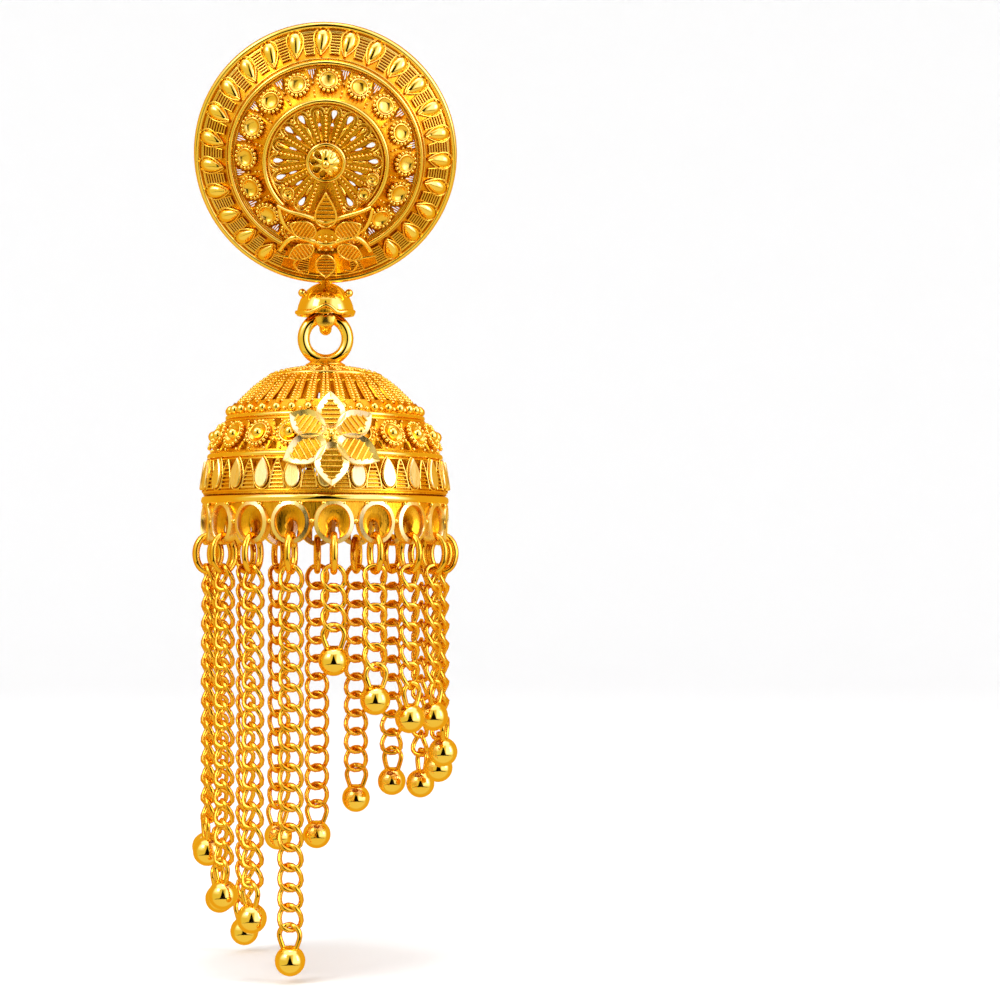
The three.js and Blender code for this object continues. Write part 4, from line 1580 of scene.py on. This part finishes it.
    def flower(self) -> Piece:
        """The six-petal flower, wrapped round the bell's front.

        Returns:
            The piece.
        """
        piece = Piece("bell_six_petals", "drop", "gold_bright", ("dome_flower",))
        centre = self.foot + self.flower_height
        around, _ = self.at(centre)

        def wrap(point: Vector) -> Vector:
            """Bends a point of the flat flower round the bell.

            Args:
                point: a point of the flat flower.

            Returns:
                Where it goes on the bell.
            """
            _, lean = self.at(centre + point.y * 0.5)
            height = centre + point.y * math.cos(math.radians(lean))
            angle = math.degrees((point.x + self.flower_aside) / around)
            return self.spot(angle, height) @ Vector((0, 0, point.z + 0.55))

        flower_on(piece, self.petal, self.petal_width, 6, wrap)
        return piece


def spline(knots: list[Row], share: float) -> Row:
    """A point on the smooth curve between the two middle knots.

    Args:
        knots: four points.
        share: how far along from the second to the third.

    Returns:
        The point.
    """
    (a, b, c, d), t = knots, share
    return tuple(0.5 * (2 * b[k] + (c[k] - a[k]) * t + (2 * a[k] - 5 * b[k] + 4 * c[k] - d[k])
                        * t * t + (3 * b[k] - a[k] - 3 * c[k] + d[k]) * t ** 3) for k in (0, 1))


def hung(hang_y: float, angle: float, radius: float, height: float) -> Matrix:
    """A place round the drop's own axis.

    Args:
        hang_y: where the axis is.
        angle: degrees from the front towards +X.
        radius: from the axis.
        height: height of the place.

    Returns:
        The place, with X round the drop, Y up and Z away from its axis.
    """
    turn = Matrix.Rotation(math.radians(angle), 4, "Z")
    stand = Matrix.Rotation(math.pi / 2, 4, "X")
    return (Matrix.Translation((0, hang_y, height)) @ turn
            @ Matrix.Translation((0, -radius, 0)) @ stand)


@dataclass
class Fringe:
    """The base band with its loops, and the jump rings and chains that hang from them."""

    hang_y: float
    top: float
    band_tall: float = 0.75
    band_radius: float = 11.45
    band_wall: float = 0.8
    count: int = 18
    first: float = 4.0
    loop_inner: float = 2.75
    loop_wall: float = 0.42
    stretch: float = 1.1
    deep: float = 0.9
    circle: float = 10.95
    play: float = 0.1
    jump_wire: float = 0.62
    jump_long: float = 3.9
    jump_wide: float = 2.9
    link_pitch: float = 1.76
    link_wide: float = 2.45
    link_wire: float = 0.48
    link_twist: float = 0.31
    link_tilt: float = 10.0
    link_slack: float = 0.02
    last_link: float = 2.1
    ball: float = 1.35
    links: tuple[int, ...] = (3, 5, 6, 6, 8, 9, 10, 10, 11, 13, 13, 18, 16, 13, 13, 15, 16, 18)

    @property
    def loop_centre(self) -> float:
        """Height of the loops' middles.

        Returns:
            The height in millimetres.
        """
        outer = self.loop_inner / 2 + self.loop_wall
        return self.top - self.band_tall - outer * self.stretch + self.loop_wall * 0.5

    @property
    def jump_high(self) -> float:
        """Height of the jump rings' tops.

        Returns:
            The height in millimetres.
        """
        low = self.loop_centre - self.loop_inner / 2 * self.stretch
        return low + self.play + self.jump_wire

    def angle(self, i: int) -> float:
        """The angle of a loop in degrees.

        Args:
            i: which loop it is.

        Returns:
            The angle.
        """
        return self.first + 360.0 * i / self.count

    def loop(self) -> bpy.types.Mesh:
        """One loop with its hollow back, which is open where the jump ring passes.

        Returns:
            The pattern's mesh.
        """
        half, wall, hole = self.deep / 2, self.loop_wall, self.loop_inner / 2
        edge = [(hole, -half), (hole + wall - 0.05, -half), (hole + wall, 0.12),
                (hole + wall - 0.04, half - 0.1), (hole + 0.06, half), (hole, half - 0.12)]
        # The loop's face is in the paler gold: painted highlight.
        hoop = Pattern().turned(edge, 40, closed=True).done(Gold.PALE_HIGHLIGHT, 30)
        # The hollow back is in the darker gold: painted shade inside the cup.
        bowl = [(0, -half), (hole * 0.6, 0.06 - half), (hole + 0.06, 0.28 - half),
                (hole + 0.06, 0.42 - half), (hole * 0.6, 0.18 - half), (0, 0.12 - half)]
        dish = Pattern().turned(bowl, 40).done(Gold.RECESS_SHADE, 50)
        arch = [Vector((0.5 * math.cos(t), 0.5 * math.sin(t) - 0.36, 0)) for t in
                (math.pi * j / 10 for j in range(11))]
        arch = [Vector((0.5, -2.2, 0)), *arch, Vector((-0.5, -2.2, 0))]
        dish = cut(dish, plate(arch, -2, 2).done(Gold.RECESS_SHADE))
        whole = merged(hoop, dish)
        whole.transform(Matrix.Diagonal((1, self.stretch, 1, 1)))
        return whole

    def rim(self) -> Piece:
        """The base band with its loops, and the webs and beads that join them.

        Returns:
            The piece.
        """
        piece = Piece("band_and_loops", "drop", "gold_plate", ("loop_rim",))
        low, high, out = self.top - self.band_tall, self.top, self.band_radius
        inner = out - self.band_wall
        rows = [(inner, low), (out - 0.24, low), (out - 0.07, low + 0.1), (out, low + 0.28),
                (out, high - 0.28), (out - 0.07, high - 0.1), (out - 0.24, high), (inner, high)]
        band = Pattern().turned(rows, 144, closed=True).done(Gold.BRIGHT, 75)
        piece.stamp(band, Matrix.Translation((0, self.hang_y, 0)))
        whole = self.loop()
        bead = Pattern().ball(0.24, 10, 7).done(Gold.BRIGHT, 80)
        up = low - self.loop_centre + 0.06
        # The webs between the loops are real, but their darker gold is painted shade.
        web = plate([Vector(p) for p in (
            (-1.15, up, 0), (-0.5, up - 0.75, 0), (-0.2, 0.3, 0), (0.2, 0.3, 0),
            (0.5, up - 0.75, 0), (1.15, up, 0))], -0.25, 0.0).done(Gold.RECESS_SHADE)
        for i in range(self.count):
            piece.stamp(whole, hung(self.hang_y, self.angle(i), self.circle, self.loop_centre))
            mid = self.angle(i) + 180.0 / self.count
            piece.stamp(bead, hung(self.hang_y, mid, self.circle + 0.3, self.loop_centre + 0.1))
            piece.stamp(web, hung(self.hang_y, mid, self.circle + 0.1, self.loop_centre))
            for side in (-1, 1):
                piece.stamp(bead, hung(self.hang_y, self.angle(i) + side * 4.6,
                                       self.circle + 0.2, low - 0.1))
        return piece

    def jump_ring(self, i: int) -> Piece:
        """One oval ring, at right angles to its loop.

        Args:
            i: which loop it hangs in.

        Returns:
            The piece.
        """
        piece = Piece(f"jump_wire_{i + 1:02d}", "drop", "gold_wire", (f"jump_ring_{i + 1:02d}",))
        tall, wide = (self.jump_long - self.jump_wire) / 2, (self.jump_wide - self.jump_wire) / 2
        centre = self.jump_high - self.jump_long / 2
        path = [Vector((0, tall * math.cos(t), wide * math.sin(t)))
                for t in (2 * math.pi * j / 32 for j in range(32))]
        ring = pattern_wire(path, self.jump_wire / 2, 10, closed=True, gold=Gold.WIRE)
        piece.stamp(ring, hung(self.hang_y, self.angle(i), self.circle, centre))
        return piece

    def link(self) -> bpy.types.Mesh:
        """One curb link, twisted so that it lies flat with the next.

        Returns:
            The pattern's mesh.
        """
        wide = (self.link_wide - self.link_wire) / 2
        tall = (self.link_pitch + self.link_wire + self.link_slack) / 2
        path = []
        for j in range(16):
            t = 2 * math.pi * j / 16
            path.append(Vector((wide * math.cos(t), tall * math.sin(t),
                                self.link_twist * math.sin(2 * t))))
        tilt = Matrix.Rotation(math.radians(self.link_tilt), 3, "Z")
        path = [tilt @ point for point in path]
        return pattern_wire(path, self.link_wire / 2 - 0.005, 7, closed=True, gold=Gold.WIRE)

    def chain(self, i: int, link: bpy.types.Mesh, lots: random.Random) -> Piece:
        """One chain with the ball at its end.

        Args:
            i: which chain it is.
            link: the pattern of a link.
            lots: what its small turns are drawn from.

        Returns:
            The chain as a piece.
        """
        piece = Piece(f"curb_chain_{i + 1:02d}", "drop", "gold_wire", (f"chain_{i + 1:02d}",))
        jump_foot = self.jump_high - self.jump_long
        tall = (self.link_pitch + self.link_wire + self.link_slack) / 2
        hook = jump_foot + self.jump_wire + self.link_wire / 2 + self.link_slack
        turn = Matrix.Rotation(math.radians(lots.uniform(-9, 9)), 4, "Y")
        for n in range(self.links[i]):
            height = hook - tall - n * self.link_pitch
            sway = Matrix.Rotation(math.radians(lots.uniform(-1.5, 1.5)), 4, "Y")
            piece.stamp(link, hung(self.hang_y, self.angle(i), self.circle, height) @ turn @ sway)
        centre = jump_foot + self.jump_wire - self.links[i] * self.link_pitch - self.last_link \
            - self.ball * 0.6
        here = hung(self.hang_y, self.angle(i), self.circle, centre) @ turn
        lowest = hook - 2 * tall - (self.links[i] - 1) * self.link_pitch
        top = lowest + self.link_wire + self.link_slack * 2 - centre
        side = self.last_link / 2 - 0.1
        mid = lerp(self.ball, top, 0.45)
        path = [Vector(p) for p in (
            (-0.42, self.ball * 0.62, 0.12), (-0.6, self.ball * 0.86, 0.12),
            (-side, mid, 0.1), (-side * 0.86, lerp(mid, top, 0.55), 0.16),
            (-side * 0.45, top - 0.1, 0.22), (0, top, 0.02),
            (side * 0.45, top - 0.1, 0.28), (side * 0.86, lerp(mid, top, 0.55), 0.3),
            (side, mid, 0.26), (0.62, self.ball * 0.86, 0.2), (0.42, self.ball * 0.62, 0.2))]
        piece.stamp(pattern_wire(smoothed(path, 2), self.link_wire / 2, 8, gold=Gold.WIRE), here)
        ball = Pattern().ball(self.ball, 32, 20, Matrix.Rotation(math.pi / 2, 4, "X"))
        piece.stamp(ball.done(Gold.BRIGHT, 80), here)
        # Small collars in the darker gold: painted shade where the link's legs go into the ball.
        collar = Pattern().hoop(0.27, 0.055, 14, 6, place=Matrix.Rotation(math.pi / 2, 4, "X"))
        collar_mesh = collar.done(Gold.RECESS_SHADE, 80)
        for x in (-0.55, 0.58):
            lean = Matrix.Rotation(-x * 0.75, 4, "Z")
            piece.stamp(collar_mesh, here @ lean
                        @ Matrix.Translation((0, self.ball - 0.03, 0.1)))
        return piece


def smoothed(path: list[Vector], cuts: int) -> list[Vector]:
    """A path with more points on the smooth curve through its points.

    Args:
        path: the points.
        cuts: how many points are added between each two.

    Returns:
        The smoother path.
    """
    out = []
    for i in range(len(path) - 1):
        a, b, c, d = path[max(0, i - 1)], path[i], path[i + 1], path[min(len(path) - 1, i + 2)]
        for j in range(cuts + 1):
            t = j / (cuts + 1)
            out.append(0.5 * (2 * b + (c - a) * t + (2 * a - 5 * b + 4 * c - d) * t * t
                              + (3 * b - a - 3 * c + d) * t ** 3))
    return out + [path[-1]]


# The studio


@dataclass
class Studio:
    """The floor, the lights and the camera."""

    lens: float = 90.0
    eye_height: float = -0.0378
    aim_height: float = -0.0318
    distance: float = 0.229
    yaw: float = 4.0
    floor_gap: float = 0.0006

    def camera(self) -> None:
        """Adds the camera at the photograph's viewing angle."""
        data = bpy.data.cameras.new("camera")
        data.lens = self.lens
        data.sensor_width = 36.0
        data.clip_start, data.clip_end = 0.005, 20.0
        made = bpy.data.objects.new("camera", data)
        made.location = (0.0, -self.distance, self.eye_height)
        pitch = math.atan2(self.aim_height - self.eye_height, self.distance)
        made.rotation_euler = (math.radians(90) + pitch, 0.0, math.radians(-self.yaw))
        bpy.context.scene.collection.objects.link(made)
        bpy.context.scene.camera = made

    def floor(self) -> None:
        """Adds the pale floor that turns up into a backdrop."""
        low = CAD_BOX[0].z - self.floor_gap
        bm = bmesh.new()
        bend, reach, rise = 0.35, 0.9, 0.9
        profile = [(0.0, low), (reach - bend, low)]
        for i in range(1, 9):
            t = math.radians(90 * i / 8)
            profile.append((reach - bend + bend * math.sin(t), low + bend * (1 - math.cos(t))))
        profile.append((reach, low + rise))
        verts = [bm.verts.new((x, 0, z)) for x, z in profile]
        edges = [bm.edges.new(pair) for pair in zip(verts, verts[1:])]
        bmesh.ops.spin(bm, geom=verts + edges, cent=(0, 0, 0), axis=(0, 0, 1),
                       angle=2 * math.pi, steps=64, use_merge=True)
        bmesh.ops.remove_doubles(bm, verts=bm.verts, dist=1e-6)
        bmesh.ops.recalc_face_normals(bm, faces=bm.faces)
        bmesh.ops.reverse_faces(bm, faces=bm.faces)
        for face in bm.faces:
            face.smooth = True
        mesh = bpy.data.meshes.new("studio_floor")
        bm.to_mesh(mesh)
        bm.free()
        made = bpy.data.objects.new("studio_floor", mesh)
        bpy.context.scene.collection.objects.link(made)
        paint = bpy.data.materials.new("studio_paper")
        paint.use_nodes = True
        shader = paint.node_tree.nodes["Principled BSDF"]
        shader.inputs["Base Color"].default_value = (0.93, 0.93, 0.93, 1)
        shader.inputs["Roughness"].default_value = 0.9
        shader.inputs["Specular IOR Level"].default_value = 0.1
        mesh.materials.append(paint)
        made.visible_glossy = False

    def lights(self) -> None:
        """Adds the soft boxes."""
        for name, place, size, power, tint in (
            ("key", (-0.32, -0.30, 0.30), (0.20, 0.20), 1.1, (1.0, 0.99, 0.98)),
            ("fill", (0.44, -0.22, 0.10), (0.14, 0.30), 0.8, (1.0, 0.98, 0.97)),
            ("top", (0.02, -0.04, 0.5), (0.22, 0.14), 0.55, (1.0, 1.0, 1.0)),
        ):
            data = bpy.data.lights.new(name, "AREA")
            data.shape = "RECTANGLE"
            data.size, data.size_y = size
            data.energy = power
            data.color = tint
            made = bpy.data.objects.new(name, data)
            made.location = place
            aim = Vector((0, 0.003, -0.03)) - Vector(place)
            made.rotation_euler = aim.to_track_quat("-Z", "Y").to_euler()
            bpy.context.scene.collection.objects.link(made)

    def surround(self) -> None:
        """Sets the world: white to the camera, and a warm tent with a dark gap in reflections."""
        world = bpy.data.worlds.new("tent")
        world.use_nodes = True
        tree = world.node_tree
        node, link = tree.nodes.new, tree.links.new
        tree.nodes.clear()
        place, split = node("ShaderNodeTexCoord"), node("ShaderNodeSeparateXYZ")
        link(place.outputs["Generated"], split.inputs["Vector"])
        x, y, z = (split.outputs[k] for k in "XYZ")

        def join(socket: bpy.types.NodeSocket, value: object) -> None:
            """Sets a node's input.

            Args:
                socket: the input.
                value: a number, a colour or another node's output.
            """
            if isinstance(value, bpy.types.NodeSocket):
                link(value, socket)
            else:
                socket.default_value = value

        def calc(kind: str, a: object, b: object = 0.0, c: object = 0.0) -> bpy.types.NodeSocket:
            """Adds a sum to the world's nodes.

            Args:
                kind: the operation.
                a: its first input.
                b: its second input.
                c: its third input.

            Returns:
                The output of its node.
            """
            made = node("ShaderNodeMath")
            made.operation = kind
            for socket, value in zip(made.inputs, (a, b, c)):
                join(socket, value)
            return made.outputs[0]

        def step(value: object, low: float, high: float) -> bpy.types.NodeSocket:
            """Adds a soft step from 0 to 1 to the world's nodes.

            Args:
                value: what is compared.
                low: the value that gives 0.
                high: the value that gives 1.

            Returns:
                The output of its node.
            """
            made = node("ShaderNodeMapRange")
            made.interpolation_type = "SMOOTHSTEP"
            for name, item in (("Value", value), ("From Min", low), ("From Max", high)):
                join(made.inputs[name], item)
            return made.outputs["Result"]

        def over(under: object, colour: object, mask: bpy.types.NodeSocket) -> bpy.types.NodeSocket:
            """Lays one colour over another.

            Args:
                under: the colour where the mask is 0.
                colour: the colour where it is 1.
                mask: how much of the second colour shows.

            Returns:
                The mixed colour.
            """
            made = node("ShaderNodeMix")
            made.data_type = "RGBA"
            join(made.inputs["Factor"], mask)
            for name, item in (("A", under), ("B", colour)):
                join(made.inputs[name], (*item, 1.0) if isinstance(item, tuple) else item)
            return made.outputs["Result"]

        back, room, table = (0.84, 0.54, 0.07), (0.83, 0.76, 0.32), (0.90, 0.80, 0.44)
        window, roof, dark = (1.6, 1.65, 3.0), (1.7, 1.7, 3.1), (0.004, 0.003, 0.002)
        tent = over(back, room, step(y, 0.12, -0.16))
        under = calc("MULTIPLY", step(z, -0.40, -0.45), step(y, 0.2, -0.1))
        left = calc("MULTIPLY", step(x, -0.25, -0.75), step(z, 0.05, 0.6))
        right = calc("MULTIPLY", step(x, 0.24, 0.5), step(z, -0.42, -0.1))
        front = step(y, -0.02, -0.3)
        tent = over(tent, window, calc("MULTIPLY", calc("MAXIMUM", left, right), front))
        tent = over(tent, roof, calc("MULTIPLY", step(z, 0.72, 0.86), step(y, 0.34, 0.0)))
        tent = over(tent, table, under)
        height = calc("ADD", z, 0.44)
        reach = calc("MULTIPLY_ADD", height, -0.32, 0.40)
        skirt = calc("MULTIPLY", step(height, 0.14, 0.0), 0.5)
        inside = step(calc("SUBTRACT", calc("ADD", reach, skirt), calc("ABSOLUTE", x)), -0.03, 0.03)
        below = calc("MULTIPLY", inside, step(z, 0.74, 0.66))
        wedge = calc("MULTIPLY", below, step(z, -0.45, -0.43))
        tent = over(tent, dark, calc("MULTIPLY", wedge, step(y, -0.05, -0.2)))
        seen = node("ShaderNodeLightPath")
        glow, paper = node("ShaderNodeBackground"), node("ShaderNodeBackground")
        link(tent, glow.inputs["Color"])
        paper.inputs["Color"].default_value = (1.0, 1.0, 1.0, 1.0)
        blend, out = node("ShaderNodeMixShader"), node("ShaderNodeOutputWorld")
        link(seen.outputs["Is Glossy Ray"], blend.inputs["Fac"])
        link(paper.outputs["Background"], blend.inputs[1])
        link(glow.outputs["Background"], blend.inputs[2])
        link(blend.outputs["Shader"], out.inputs["Surface"])
        bpy.context.scene.world = world
        bpy.context.scene.view_settings.view_transform = "Standard"


def main() -> None:
    """Builds the studio and every piece, and writes how large the model is."""
    logging.basicConfig(level=logging.INFO, format="%(message)s")
    studio = Studio()
    studio.camera()
    studio.floor()
    studio.lights()
    studio.surround()
    metals = Metals()
    hang_y = frame["joints"][0]["pos_m"][1] / MM
    stud = Stud()
    hanger = Hanger(hang_y)
    bell = Bell(hang_y, box_mm("dome")[0].z)
    fringe = Fringe(hang_y, box_mm("loop_rim")[1].z)
    lots = random.Random(18)
    link = fringe.link()
    pieces = [stud.disc(), stud.boss(), stud.flower(), stud.post(), hanger.hood(), hanger.ring(),
              bell.dome(), bell.flower(), fringe.rim()]
    pieces += [fringe.jump_ring(i) for i in range(fringe.count)]
    pieces += [fringe.chain(i, link, lots) for i in range(fringe.count)]
    for piece in pieces:
        piece.finish(metals)


if __name__ == "__main__":
    main()
